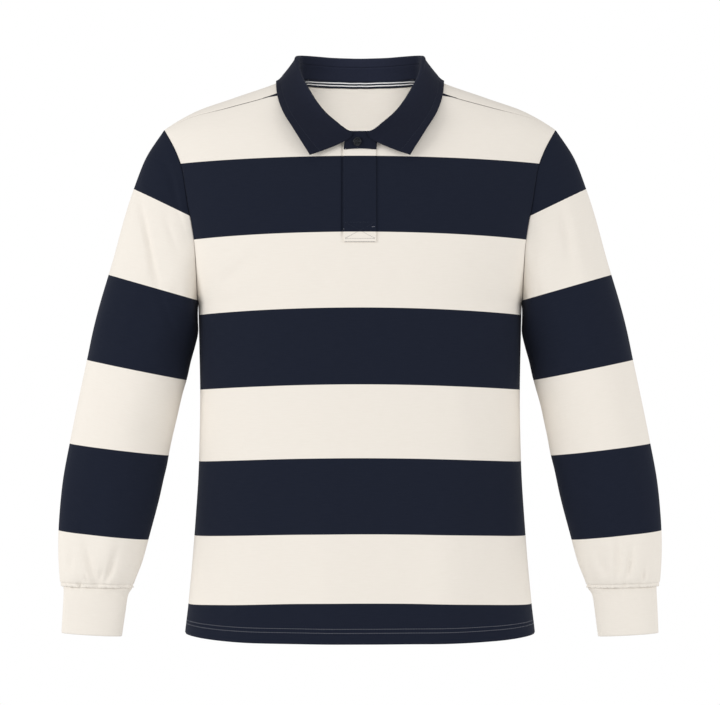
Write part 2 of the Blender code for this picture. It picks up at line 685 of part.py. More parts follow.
def leaf_ring():
    """Places round the neck for the leaf's columns, from one front end to the other."""
    side = [*LEAF_ENDS, 22.0, *FRONT_STATIONS[1:], *BACK_STATIONS]
    return np.array([*side, *(2 * CENTRE_BACK - place for place in side[-2::-1])])


def make_leaf(collection):
    ring, place = np.meshgrid(leaf_ring(), np.array(LEAF_ROWS, float))
    outer, normals = leaf_surface(ring, place)
    step = 0.01
    down = leaf_surface(ring, place + step)[0] - leaf_surface(ring, place - step)[0]
    round_it = leaf_surface(ring + 1, place)[0] - leaf_surface(ring - 1, place)[0]
    normals = np.where(place[..., None] <= 2, normals, unit(np.cross(down, round_it)))
    wall("collar_leaf", outer, outer - normals * TWILL, grid_faces(*outer.shape[:2]), NAVY, 0.8, collection)


def make_tape(collection):
    """The tape that covers the back neck seam, laid on the back's own points."""
    outer, _ = panel("back")
    middle = outer.shape[1] // 2
    reach = (*BACK_STATIONS[::-1],).index(TAPE_END)
    strip = outer[-2:, middle - reach : middle + reach + 1]
    normals = body_normals(strip)
    face = strip - normals * (JERSEY + SEAM_GAP)
    wall("neck_tape", face, face - normals * TAPE, grid_faces(*strip.shape[:2]), NAVY, 0.8, collection)


def make_button(collection, cutters):
    ring = BUTTON_ACROSS + np.array([[-6.0, 0.0, 6.0]]) * np.ones((2, 1))
    face, _ = band_surface(ring, np.array([0.0, 1.0])[:, None, None])
    share_up = (BUTTON_HEIGHT - face[0, 1, 2]) / (face[1, 1, 2] - face[0, 1, 2])
    out = unit(np.cross(face[0, 2] - face[0, 0], face[1, 1] - face[0, 1]))
    place = face[0, 1] + (face[1, 1] - face[0, 1]) * share_up + out * SEAM_GAP
    radius, thick = BUTTON_DIAMETER / 2 * MM, BUTTON_THICKNESS * MM
    profile = [
        (0.0, 0.55 * thick),
        (0.62 * radius, 0.55 * thick),
        (0.78 * radius, thick),
        (0.92 * radius, thick),
        (radius, 0.72 * thick),
        (radius, 0.3 * thick),
        (0.86 * radius, 0.0),
        (0.0, 0.0),
    ]
    mesh = bpy.data.meshes.new("button")
    mesh.from_pydata([(x, 0.0, z) for x, z in profile], [(i, i + 1) for i in range(len(profile) - 1)], [])
    button = add_object("button", mesh, NAVY, 0.25, collection)
    turned = button.modifiers.new("turned", "SCREW")
    turned.steps = turned.render_steps = 24
    turned.use_merge_vertices = True
    turned.merge_threshold = 0.00001
    turned.use_smooth_shade = True
    holes = bmesh.new()
    for index in range(4):
        corner = math.radians(45 + 90 * index)
        pitch = BUTTON_HOLE_PITCH / math.sqrt(2) * MM
        drill = bmesh.ops.create_cone(holes, cap_ends=True, segments=8, radius1=BUTTON_HOLE / 2 * MM,
                                      radius2=BUTTON_HOLE / 2 * MM, depth=4 * thick)
        bmesh.ops.translate(holes, verts=drill["verts"], vec=(pitch * math.cos(corner), pitch * math.sin(corner), 0.0))
    hole_mesh = bpy.data.meshes.new("button_holes")
    holes.to_mesh(hole_mesh)
    holes.free()
    cutter = bpy.data.objects.new("button_holes", hole_mesh)
    cutters.objects.link(cutter)
    cutter.hide_render = True
    cutter.display_type = "WIRE"
    facing = Vector(out).to_track_quat("Z", "Y")
    for obj in (button, cutter):
        obj.rotation_mode = "QUATERNION"
        obj.rotation_quaternion = facing
        obj.location = place * MM
    drilled = button.modifiers.new("drilled", "BOOLEAN")
    drilled.operation = "DIFFERENCE"
    drilled.object = cutter


def new_collection(name):
    collection = bpy.data.collections.new(name)
    bpy.context.scene.collection.children.link(collection)
    return collection


def main():
    for obj in list(bpy.data.objects):
        bpy.data.objects.remove(obj)
    shirt = new_collection("long_sleeve_polo_shirt")
    cutters = new_collection("cutters")
    cutters.hide_render = True
    make_front(shirt)
    make_back(shirt)
    make_placket(shirt)
    for name, side in (("left", 1.0), ("right", -1.0)):
        make_sleeve(f"sleeve_{name}", side, shirt)
        make_cuff(f"cuff_{name}", side, shirt)
    make_band(shirt)
    make_leaf(shirt)
    make_tape(shirt)
    make_button(shirt, cutters)


main()
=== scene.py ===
# %% [markdown]
# # A long-sleeve polo shirt in hooped jersey
#
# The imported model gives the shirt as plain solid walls, one for each piece that a maker cuts. This script
# keeps those sizes and dresses each piece: a finer surface with soft creases, hoops that meet at the seams,
# knit and twill, rolled edges, and the sewing. It runs from top to bottom, one piece at a time.

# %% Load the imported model
import math

import bmesh
import bpy
import numpy as np
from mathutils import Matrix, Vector


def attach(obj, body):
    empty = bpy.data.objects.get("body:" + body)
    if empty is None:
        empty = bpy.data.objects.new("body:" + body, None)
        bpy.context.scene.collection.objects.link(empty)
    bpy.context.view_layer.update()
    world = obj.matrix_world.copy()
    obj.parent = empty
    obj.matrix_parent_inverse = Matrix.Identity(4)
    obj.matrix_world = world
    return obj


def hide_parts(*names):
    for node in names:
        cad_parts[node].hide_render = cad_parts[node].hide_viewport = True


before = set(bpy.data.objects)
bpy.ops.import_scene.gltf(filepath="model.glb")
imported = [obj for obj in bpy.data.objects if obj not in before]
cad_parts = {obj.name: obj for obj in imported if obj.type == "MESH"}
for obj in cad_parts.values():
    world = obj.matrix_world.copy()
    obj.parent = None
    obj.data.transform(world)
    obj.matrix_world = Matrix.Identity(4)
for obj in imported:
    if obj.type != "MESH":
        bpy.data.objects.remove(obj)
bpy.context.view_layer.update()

# %% [markdown]
# ## Camera
#
# The photograph was taken level, from the front and from some way off, so the two sides of the shirt hardly
# converge. A long lens 4.5 m away gives the same drawing. Its height is the middle of the shirt.

# %% Camera
MM = 0.001


def in_scene(name, data):
    """An object that holds the data, linked to the scene."""
    obj = bpy.data.objects.new(name, data)
    bpy.context.scene.collection.objects.link(obj)
    return obj


CAMERA_DISTANCE = 4.5
CAMERA_HEIGHT = -0.343
LENS_MM = 170.45

camera_data = bpy.data.cameras.new("camera")
camera_data.lens = LENS_MM
camera_data.sensor_width = 36.0
camera_data.clip_end = 30.0
camera = in_scene("camera", camera_data)
camera.location = (0.0, -CAMERA_DISTANCE, CAMERA_HEIGHT)
camera.rotation_euler = (math.radians(90), 0.0, 0.0)
bpy.context.scene.camera = camera

# %% [markdown]
# ## Sizes
#
# A shirt's form can be written as a few tables: half widths and depths of the body at some heights, the
# line of the shoulder, the cut of the armhole, and sections down the sleeve. Between the rows, cubic pieces
# join smoothly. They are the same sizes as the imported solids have, in millimetres, so that each finer
# surface lies on its solid.


# %% Tables of sizes
def table(names, *rows):
    """Columns by name, from rows whose first column rises."""
    return dict(zip(names.split(), np.array(rows, float).T))


def along(tab, column, at):
    """A smooth value between a table's rows: cubic pieces, with the slope at each row from its neighbours."""
    key = next(iter(tab.values()))
    value = tab[column]
    slope = np.gradient(value, key)
    at = np.asarray(at, float)
    i = np.clip(np.searchsorted(key, at, side="right") - 1, 0, len(key) - 2)
    span = key[i + 1] - key[i]
    t = np.clip((at - key[i]) / span, 0.0, 1.0)
    start = (2 * t**3 - 3 * t**2 + 1) * value[i] + (t**3 - 2 * t**2 + t) * slope[i] * span
    end = (3 * t**2 - 2 * t**3) * value[i + 1] + (t**3 - t**2) * slope[i + 1] * span
    return start + end


def ease(t):
    """From 0 to 1 with no corner at either end."""
    t = np.clip(t, 0.0, 1.0)
    return t * t * (3 - 2 * t)


def bell(value, middle, reach):
    """exp(-((value - middle) / reach)^2): 1 at the middle, and close to 0 two reaches from it."""
    return np.exp(-(((value - middle) / reach) ** 2))


def wrapped(degrees):
    """An angle turned to lie between -180 and 180 degrees."""
    return (degrees + 180) % 360 - 180


def unit(vectors):
    return vectors / np.maximum(np.linalg.norm(vectors, axis=-1, keepdims=True), 1e-12)


def mirrored(points, hand):
    """Points or directions with x turned to a hand: 1 is the wearer's left, and -1 the right."""
    return points * np.array([hand, 1.0, 1.0])


# Cloth and seams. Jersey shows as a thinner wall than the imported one, so that its edges look soft.
JERSEY = 1.5
JERSEY_SHOWN = 1.1
TWILL = 1.8
TAPE = 1.0
SEAM_GAP = 0.3

# Body
ARMPIT_HEIGHT = -278.0
CHEST_HEIGHT = -188.0
SQUARENESS = 2.3
HEM_RISE_AT_SIDES = 6.5
SET_IN = {"front": 0.48, "back": 0.52}
# The angle round the armhole at which it turns from the shoulder's arch to the upright side.
TOP_ARC = 101.6

# Placket
SLIT_HALF = 19.0
PLACKET_HALF = 21.0
PLACKET_BOTTOM = -201.0
PLACKET_TOP_TURN = 26.2

# Collar
FOLD_RADIUS = 3.2
LEAF_CLEARANCE = 2.2
BAND_END = 21.5
BAND_UNDER_LEAF = 0.9
BAND_STEP_OUT = TWILL + SEAM_GAP

# Button
BUTTON_DIAMETER = 11.5
BUTTON_HOLE = 1.7
BUTTON_HOLE_PITCH = 3.0
BUTTON_ACROSS = -3.5
BUTTON_HEIGHT = -69.4

BODY = table(
    "height half_width front back",
    (-719, 231, 114, 112),
    (-670, 226, 111, 107),
    (-617, 221, 108.5, 102),
    (-564, 217, 107, 98),
    (-511, 213.5, 107, 95),
    (-458, 211.6, 108, 95),
    (-405, 210.8, 110, 97),
    (-340, 211.8, 114, 103),
    (-278, 213.2, 117, 108),
    (-235, 213.8, 117.5, 111),
    (-188, 218, 114, 113),
    (-120, 229, 103, 112.5),
    (-79, 240, 91, 111),
    (-40, 255, 84.5, 110),
    (0, 260, 81, 108),
    (60, 260, 79, 106),
)

# The line that a shoulder would show from the front, and inside the neck where it would run on.
RIDGE = table(
    "across height",
    (0, 60),
    (30, 54),
    (60, 38),
    (74, 30),
    (84, 23.5),
    (110, 12.5),
    (168, -7.8),
    (223, -28.2),
    (258, -49.2),
    (275, -62),
)

ARMHOLE = table(
    "height across",
    (-278, 213.2),
    (-235, 213.8),
    (-200, 216),
    (-175, 220),
    (-150, 225),
    (-125, 229),
    (-97, 234.5),
    (-75, 243.5),
    (-49.2, 258),
)

# turn is the angle over the shoulder: 0 at the chest, 90 on the ridge, 180 at the back.
SHOULDER_SEAM = table(
    "across turn",
    (84, 66.3),
    (108, 66.5),
    (167, 68.5),
    (203, 71.5),
    (222, 75),
    (240, 79.5),
    (258, 90),
)

# The neck seam from the centre front round to the centre back, and the collar at each place along it: the
# fold line, the leaf's outer edge, how far the leaf rolls before it falls, and how high it rises inside.
NECK = table(
    "arc across turn fold_x fold_y fold_z edge_x edge_y edge_z roll rise",
    (-21, -21, 29.4, -19, -82, -51, 54, -93, -106, 0.10, 1.5),
    (0, 0, 28.6, 0, -84.3, -52.5, 61.5, -91.5, -93, 0.10, 0.5),
    (21, 21, 29.4, 19, -82, -51, 69.5, -89, -79.5, 0.18, 1.5),
    (37, 36, 31.7, 28.5, -79, -44.5, 77.5, -85, -66.5, 0.22, 2),
    (58, 52, 36.7, 42, -71, -33, 87, -77, -51, 0.26, 3),
    (83, 66, 44, 55.2, -60.5, -17, 97, -67, -35, 0.26, 4),
    (110, 77, 54.5, 68, -45, 4.5, 105, -50, -18, 0.22, 5),
    (133, 84, 66.3, 76.7, -30, 22, 109.5, -32, -1.5, 0.16, 6),
    (152, 85.5, 77.5, 81.3, -16, 37, 111, -12, 11.5, 0.10, 7),
    (170, 83.5, 91.5, 83.4, -1, 47.5, 110.5, 9, 14.5, 0.06, 8),
    (187, 77, 105, 80.5, 18, 50.5, 103, 33, 14, 0.08, 8.5),
    (207, 66, 110.8, 69.5, 31, 51.3, 89, 50, 12, 0.16, 9),
    (226, 52, 115.7, 54.5, 41, 51, 69.5, 63, 8.5, 0.26, 9),
    (244, 36, 119.9, 37.2, 50, 50.3, 46.5, 73, 6, 0.32, 9),
    (263, 18, 122.3, 18, 55, 50, 23, 78.5, 4.5, 0.35, 9),
    (281, 0, 123.1, 0, 56, 49.7, 0, 80, 4, 0.35, 9),
    (299, -18, 122.3, -18, 55, 50, -23, 78.5, 4.5, 0.35, 9),
)
CENTRE_BACK = 281.0
SHOULDER_POINT = 133.0
LEAF_ENDS = np.array([9.5, 14.5])
TAPE_END = 187.0

# Sleeve sections from the armhole to the cuff seam: the outer and inner ends of each, seen from the front.
SLEEVE = table(
    "section out_x out_z in_x in_z centre_y half_depth",
    (0, 258, -49.2, 213.2, -278, 0, 54.5),
    (1, 282.5, -86.3, 214.2, -289.5, 0, 58),
    (2, 299, -128.5, 213.9, -302.7, 0, 61),
    (3, 311.5, -168, 213.7, -317.3, 0, 62),
    (4, 325.8, -220.9, 217.6, -335.7, -1, 61.5),
    (5, 341.5, -273.7, 223, -355.5, -2, 60),
    (6, 351.7, -313.3, 227, -374, -3.5, 58.5),
    (7, 359.9, -352.9, 232.7, -395, -5, 57),
    (8, 370.7, -405.6, 244.3, -443.7, -10, 54),
    (9, 381, -458.1, 255.2, -495, -15, 50),
    (10, 390.3, -510.5, 266, -543.4, -20, 46),
    (11, 395, -562.9, 275.7, -581.2, -25, 41),
    (12, 395.8, -602, 285.3, -616.6, -28, 36),
    (13, 394.2, -632.5, 293, -636.8, -30, 30.5),
    (14, 392.6, -645, 297, -647.6, -30.5, 25),
    (15, 388.8, -649.8, 298.6, -651.8, -30.5, 19.8),
)
CAP_SECTIONS = 5.0
CUFF_SEAM = 15

CUFF = table(
    "section out_x out_z in_x in_z centre_y half_depth",
    (0, 388.6, -650.1, 298.8, -652.1, -30.5, 19.7),
    (1, 388.8, -660, 304.4, -661.6, -30.6, 19),
    (2, 389.8, -680, 307.6, -682.5, -31, 18.2),
    (3, 391.3, -710.3, 312, -714.8, -32, 17.4),
)

# Soft folds of the body: where each lies from side to side, the heights between which it grows, its spread
# and its depth.
BODY_FOLDS = {
    "front": table(
        "across start full wide deep",
        (-150, -300, -560, 26, 2.2),
        (-92, -430, -690, 30, -2.4),
        (-38, -380, -640, 26, 1.6),
        (64, -420, -690, 30, -2),
        (112, -330, -620, 28, 2.4),
        (165, -470, -700, 22, -1.8),
    ),
    "back": table(
        "across start full wide deep",
        (-140, -260, -520, 30, -2.6),
        (-70, -350, -600, 32, 2.8),
        (-8, -300, -560, 30, -2.2),
        (58, -400, -660, 30, 2.6),
        (128, -240, -500, 32, -2.8),
    ),
}

# Folds of the sleeve: the section and the angle round it where each is deepest, its reach, and its depth.
SLEEVE_FOLDS = table(
    "section angle sections degrees deep",
    (0.9, 68, 0.8, 15, -2.5),
    (3.4, 84, 1.5, 16, -3.2),
    (4.3, 152, 0.8, 22, -2.2),
    (5.6, 35, 1.2, 18, 2),
    (6, 210, 1, 20, -2.6),
    (8.2, 140, 0.6, 26, -2.4),
    (8.9, 215, 0.7, 26, -2.8),
    (9.6, 150, 0.6, 24, 2.2),
    (10.8, 75, 1.2, 17, -2.6),
    (11.2, 285, 1.3, 20, -2.4),
)
# Gathers where the sleeve's end is drawn into the cuff.
GATHERS = table(
    "angle degrees deep",
    (30, 9, -1.6),
    (64, 9, -2.6),
    (90, 10, -3.2),
    (141, 9, -2),
    (205, 10, -2.4),
    (244, 9, -3),
    (283, 10, -2.6),
    (320, 9, -1.8),
)
GATHER_SECTIONS = (12.0, 14.3)

# %% [markdown]
# ## The body's surface
#
# Low down, the body is a rounded section: a superellipse, |x/w|^n + |y/d|^n = 1, whose n of 2.3 is a little
# squarer than an ellipse. Above the chest, each upright slice becomes an arch, a quarter of an ellipse that
# carries the cloth over the shoulder's ridge. The armhole's table says where the sleeve's seam cuts it off.


# %% The body's surface
CENTRE_ROUNDING = 5.0


def share(u):
    """How much of the full depth a section has at the share u of its half width."""
    return np.clip(1 - np.abs(u) ** SQUARENESS, 0, 1) ** (1 / SQUARENESS)


def section_width(height, side):
    """Half width of the whole section. Over the armpit it runs on past the armhole, which cuts it off."""
    climb = np.clip((height - ARMPIT_HEIGHT) / (CHEST_HEIGHT - ARMPIT_HEIGHT), 0, 1)
    depth_at_armhole = SET_IN[side] * np.sqrt(np.clip(1 - (1 - climb) ** 2, 0, 1))
    over = along(ARMHOLE, "across", height) / share(depth_at_armhole)
    return np.where(height > ARMPIT_HEIGHT, over, along(BODY, "half_width", height))


def panel_depth(x, height, side):
    """How far the front or the back stands off the side seams' plane, folds included."""
    inside = share(x / section_width(height, side))
    stands_off = along(BODY, side, height) * inside
    for across, start, full, wide, deep in zip(*BODY_FOLDS[side].values()):
        grown = ease((start - height) / (start - full))
        stands_off = stands_off + deep * grown * bell(x, across, wide) * np.minimum(inside * 2, 1)
    return stands_off


def arch_height(x):
    """How high the arch over a place across rises above the chest. Near the middle |x| is rounded off."""
    return along(RIDGE, "height", np.hypot(x, CENTRE_ROUNDING)) - CHEST_HEIGHT


def over_shoulder(x, turn):
    """Points on the quarter ellipses that carry the front up over the shoulder's ridge and down the back."""
    angle = np.radians(turn)
    z = CHEST_HEIGHT + arch_height(x) * np.sin(angle)
    off = np.where(np.asarray(turn) < 90, panel_depth(x, z, "front"), panel_depth(x, z, "back"))
    return np.stack(np.broadcast_arrays(x, -off * np.cos(angle), z), -1)


def body_normals(points):
    """Outward directions on the body, from the slope of the function that is 0 on its surface."""

    def height_off(p):
        x, y, z = np.moveaxis(p, -1, 0)
        arch = np.clip(z - CHEST_HEIGHT, 0, None) / arch_height(x)
        off = []
        for side in ("front", "back"):
            width = section_width(z, side)
            deep = along(BODY, side, z)
            plain = (np.abs(x) / width) ** SQUARENESS + (np.abs(y) / deep) ** SQUARENESS
            raised = share(x / width) * deep
            off.append(np.where(z < CHEST_HEIGHT, plain, np.hypot(y / np.maximum(raised, 1.0), arch)))
        return np.where(y < 0, off[0], off[1])

    step = 0.05
    slope = [height_off(points + step * axis) - height_off(points - step * axis) for axis in np.eye(3)]
    return unit(np.stack(slope, -1))

# %% [markdown]
# ## The sleeve's surface
#
# A sleeve is a tube whose sections are ellipses between an outer and an inner line. Its first section has
# to be the armhole itself, which is no ellipse, so the difference is added there and eased away down the
# cap. Folds are Gaussian dents round the arm, and the gathers above the cuff are narrow ones that fade
# before the seam.


# %% The sleeve's surface
def armhole_height(angle):
    """Heights round the armhole for angles from 0 at the shoulder's end to 180 at the armpit."""
    top = ARMHOLE["height"][-1]
    upper = CHEST_HEIGHT + (top - CHEST_HEIGHT) * np.cos(np.radians(angle * 90 / TOP_ARC))
    lower_turn = np.radians((180 - angle) * 90 / (180 - TOP_ARC))
    lower = ARMPIT_HEIGHT + (CHEST_HEIGHT - ARMPIT_HEIGHT) * (1 - np.cos(lower_turn))
    return np.where(angle <= TOP_ARC, upper, lower)


def armhole_loop(angle):
    """Points round the armhole: 0 at the shoulder, 90 in front, 180 under the arm, 270 behind."""
    angle = np.mod(angle, 360.0)
    front = angle <= 180
    folded = np.where(front, angle, 360 - angle)
    z = armhole_height(folded)
    x = along(ARMHOLE, "across", z)
    arch = np.clip((z - CHEST_HEIGHT) / arch_height(x), 0, 1)
    level = np.sqrt(1 - arch**2)
    y = np.where(front, -panel_depth(x, z, "front"), panel_depth(x, z, "back")) * level
    return np.stack([x, y, z], -1)


def tube(tab, section, angle):
    """Points of a tube whose sections are ellipses between the outer and inner ends in its table."""
    cos, sin = np.cos(np.radians(angle)), np.sin(np.radians(angle))
    out_x, out_z, in_x, in_z, centre_y, half = (
        along(tab, name, section) for name in ("out_x", "out_z", "in_x", "in_z", "centre_y", "half_depth")
    )
    x = (out_x + in_x) / 2 + cos * (out_x - in_x) / 2
    z = (out_z + in_z) / 2 + cos * (out_z - in_z) / 2
    return np.stack(np.broadcast_arrays(x, centre_y - half * sin, z), -1)


def sleeve_surface(section, angle):
    """The sleeve: elliptic sections that start as the armhole's own loop, with folds and gathers."""
    section, angle = np.broadcast_arrays(np.asarray(section, float), np.asarray(angle, float))
    points = tube(SLEEVE, section, angle)
    away = armhole_loop(angle) - tube(SLEEVE, np.zeros_like(section), angle)
    points = points + away * (1 - ease(section / CAP_SECTIONS))[..., None]
    centre = (tube(SLEEVE, section, 0.0 * angle) + tube(SLEEVE, section, 0.0 * angle + 180)) / 2
    press = np.zeros_like(section)
    for at, turn, long, wide, deep in zip(*SLEEVE_FOLDS.values()):
        apart = wrapped(angle - turn)
        press = press + deep * np.exp(-(((section - at) / long) ** 2) - (apart / wide) ** 2)
    start, full = GATHER_SECTIONS
    drawn = ease((section - start) / (full - start)) * ease((CUFF_SEAM - section) / (CUFF_SEAM - full))
    for turn, wide, deep in zip(*GATHERS.values()):
        press = press + deep * drawn * bell(wrapped(angle - turn), 0, wide)
    press = press * ease(section / 0.8)
    return points + unit(points - centre) * press[..., None]


def surface_normals(surface, first, second):
    """Outward directions on a surface of two values, from its slopes along both."""
    step = 0.02
    low, high = np.clip(first - step, 0, None), first + step
    down = surface(high, second) - surface(low, second)
    round_it = surface(first, second + 1.0) - surface(first, second - 1.0)
    return unit(np.cross(round_it, down))


def seam_normals(own, other):
    """One direction for both edges of a seam, so that their walls meet as a mitre.

    In a deep valley, where the two directions have little in common, each edge keeps its own.
    """
    alike = (own * other).sum(-1, keepdims=True)
    meet = ease((alike + 0.1) / 0.6)
    return unit(own * (1 - meet) + unit(own + other) * meet)

# %% [markdown]
# ## Walls of cloth
#
# Cloth has two sides and an edge, and the edge is what catches the light at a hem or a collar. So each
# piece is a closed wall: a grid of points outside, the same grid moved in by the cloth's thickness, and a
# strip of faces round every free edge. The last row before an edge lies very close to it, and the edge
# itself drops a little, so that the wall turns over softly there, as sewn cloth does.

# %% Walls of cloth
EDGE_REACH = 1.3
EDGE_DROP = 0.45


def grid_quads(rows, columns, closed=False):
    """Four-sided faces of a grid of points, which may close on itself from column to column."""
    index = np.arange(rows * columns).reshape(rows, columns)
    right = np.roll(index, -1, axis=1) if closed else index[:, 1:]
    left = index if closed else index[:, :-1]
    return np.stack([left[:-1], right[:-1], right[1:], left[1:]], -1)


def with_edge_lines(grid, reach, axis):
    """The grid with one more line just inside each end of an axis, a short reach from it."""
    grid = np.moveaxis(grid, axis, 0)

    def near(edge, inside):
        long = np.linalg.norm((inside - edge)[..., :3], axis=-1, keepdims=True)
        return edge + (inside - edge) * np.minimum(reach / np.maximum(long, 1e-9), 0.5)

    first, last = near(grid[:1], grid[1:2]), near(grid[-1:], grid[-2:-1])
    return np.moveaxis(np.concatenate([grid[:1], first, grid[1:-1], last, grid[-1:]]), 0, axis)


def wall_quads(quads, count):
    """The outer faces, the same faces turned over on the inner points, and a face along each free edge."""
    sides = np.stack([quads, np.roll(quads, -1, axis=1)], -1).reshape(-1, 2)
    key = sides.min(axis=1) * count + sides.max(axis=1)
    _, first, uses = np.unique(key, return_index=True, return_counts=True)
    free = sides[first[uses == 1]]
    rim = np.stack([free[:, 1], free[:, 0], free[:, 0] + count, free[:, 1] + count], -1)
    return np.concatenate([quads, quads[:, ::-1] + count, rim])


def new_mesh_object(name, points, quads):
    """An object at the origin with these points, in millimetres, and faces."""
    mesh = bpy.data.meshes.new(name)
    mesh.vertices.add(len(points))
    mesh.vertices.foreach_set("co", (np.asarray(points, float) * MM).astype(np.float32).ravel())
    mesh.loops.add(quads.size)
    mesh.loops.foreach_set("vertex_index", quads.astype(np.int32).ravel())
    mesh.polygons.add(len(quads))
    mesh.polygons.foreach_set("loop_start", np.arange(0, quads.size, quads.shape[1], dtype=np.int32))
    mesh.update(calc_edges=True)
    mesh.validate()
    mesh.shade_smooth()
    return in_scene(name, mesh)


def add_value(obj, name, values):
    """One number for each point, which a material reads with an Attribute node."""
    layer = obj.data.attributes.new(name, "FLOAT", "POINT")
    layer.data.foreach_set("value", np.asarray(values, np.float32).ravel())


def add_uv(obj, across, up):
    """A UV map in metres along the cloth, so that yarns keep one size everywhere."""
    layer = obj.data.uv_layers.new(name="cloth")
    corner = np.empty(len(obj.data.loops), np.int32)
    obj.data.loops.foreach_get("vertex_index", corner)
    uv = np.stack([across.ravel(), up.ravel()], -1)[corner] * MM
    layer.data.foreach_set("uv", uv.astype(np.float32).ravel())


def lengths_along(grid, axis):
    """How far each point lies along its row or column, following the surface, from the middle line."""
    steps = np.linalg.norm(np.diff(grid, axis=axis), axis=-1)
    total = np.cumsum(steps, axis=axis)
    total = np.concatenate([np.zeros_like(np.take(total, [0], axis)), total], axis)
    return total - np.take(total, [total.shape[axis] // 2], axis)


def cloth(name, node, outer, normals, thick, slot, closed=False, keep=None, hoops=None, edges=True):
    """A finished wall of cloth that stands for a node. normals point away from the wearer."""
    both = np.concatenate([outer, normals], -1)
    if edges:
        both = with_edge_lines(both, EDGE_REACH, 0)
        both = both if closed else with_edge_lines(both, EDGE_REACH, 1)
    outer, normals = both[..., :3], unit(both[..., 3:])
    inner = outer - normals * thick
    if edges:
        drop = np.zeros(outer.shape[:2])
        drop[[0, -1]] = EDGE_DROP
        if not closed:
            drop[:, [0, -1]] = EDGE_DROP
        outer = outer - normals * drop[..., None]
        inner = inner + normals * drop[..., None] * 0.5
    rows, columns = outer.shape[:2]
    quads = grid_quads(rows, columns, closed)
    quads = quads[keep(outer)] if keep is not None else quads.reshape(-1, 4)
    corners = outer.reshape(-1, 3)[quads]
    facing = np.cross(corners[:, 2] - corners[:, 0], corners[:, 3] - corners[:, 1])
    if (facing * normals.reshape(-1, 3)[quads[:, 0]]).sum() < 0:
        quads = quads[:, ::-1]
    used = np.unique(quads)
    renumber = np.zeros(rows * columns, int)
    renumber[used] = np.arange(len(used))
    quads = wall_quads(renumber[quads], len(used))
    points = np.concatenate([outer.reshape(-1, 3)[used], inner.reshape(-1, 3)[used]])
    obj = new_mesh_object(name, points, quads)
    across, up = lengths_along(outer, 1).ravel()[used], lengths_along(outer, 0).ravel()[used]
    add_uv(obj, np.tile(across, 2), np.tile(up, 2))
    if hoops is not None:
        add_value(obj, "hoop", hoops(points))
    obj.data.materials.append(FINISHES[slot])
    finish_piece(obj, node)
    surface = np.linalg.norm(facing, axis=-1).sum() / 2 * MM**2
    print(name, len(obj.data.polygons), "faces,", round(surface, 3), "square metres")
    return obj, surface


def finish_piece(obj, node):
    """Hangs a piece on the root body, and hides the imported part that it stands for."""
    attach(obj, "root")
    if node:
        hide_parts(node)


# %% [markdown]
# ## Hoops
#
# The hoops are knitted into the cloth, so they follow it: on the body they droop a little from the centre
# to the side seams, and on a sleeve they lie square to the arm. Each piece carries one number a point, the
# hoop count, which passes a whole number at each change of colour. The sine of pi times that count changes
# sign exactly there, so the material can make a crisp edge from a smooth number. Front, back and placket
# read the same function of place, which is why the hoops meet at the seams.

# %% Hoops
BODY_HOOPS = table(
    "height droop",
    (-765, 6),
    (-666.3, 6.2),
    (-577.5, 5.8),
    (-479.2, 6.9),
    (-384.1, 8),
    (-285, 9),
    (-187.5, 8.1),
    (-88.2, 6.2),
)
SLEEVE_HOOPS = table(
    "height tilt",
    (-586, 0.104),
    (-472.2, 0.120),
    (-364.8, 0.203),
    (-249.7, 0.286),
    (-126.6, 0.489),
)
# How far out from the middle a body hoop has all its droop, and a sleeve hoop is at its height.
BODY_REFERENCE = 214.0
SLEEVE_REFERENCE = 300.0
HOOP_HEIGHT = 99.0


def count_between(z, edges, counts):
    """The hoop count at height z, straight between edges that rise. Past either end it stays in one hoop."""
    count = counts[0] + np.clip((edges[0] - z) / HOOP_HEIGHT, 0, 0.5)
    for low, high, at in zip(edges[:-1], edges[1:], counts[:-1]):
        count = np.where(z >= low, at - (z - low) / (high - low), count)
    top = edges[-1]
    return np.where(z >= top, counts[-1] - np.clip((z - top) / HOOP_HEIGHT, 0, 0.5), count)


def body_hoops(points):
    """Count 1 is the yoke's lower edge, and each hoop below adds one. 1 to 2, 3 to 4 and so on are navy."""
    x, _, z = points.T
    share_out = (x / BODY_REFERENCE) ** 2
    edges = [height - droop * share_out for height, droop in zip(BODY_HOOPS["height"], BODY_HOOPS["droop"])]
    return count_between(z, edges, np.arange(8, 0, -1.0))


def sleeve_hoops(points):
    """As on the body, with the cap's navy hoop as 1 to 2. Under the lowest edge the sleeve is cream."""
    x, _, z = points.T
    out = np.abs(x) - SLEEVE_REFERENCE
    edges = [height + tilt * out for height, tilt in zip(SLEEVE_HOOPS["height"], SLEEVE_HOOPS["tilt"])]
    return count_between(z, edges, np.arange(6, 1, -1.0))


# %% [markdown]
# ## Cloth materials
#
# Cotton jersey is matt: a high roughness, and a little sheen for the fuzz of fibres that stand off it. Its
# knit is wales, upright ribs of loops about 1 mm apart, which the UV map in metres places at true size.
# They go into bump only, because they are finer than a fingernail's edge. Twill has a slanting line
# instead, and its yarns are dyed unevenly, so its navy is mottled. Colours were judged against the
# photograph under the same light.


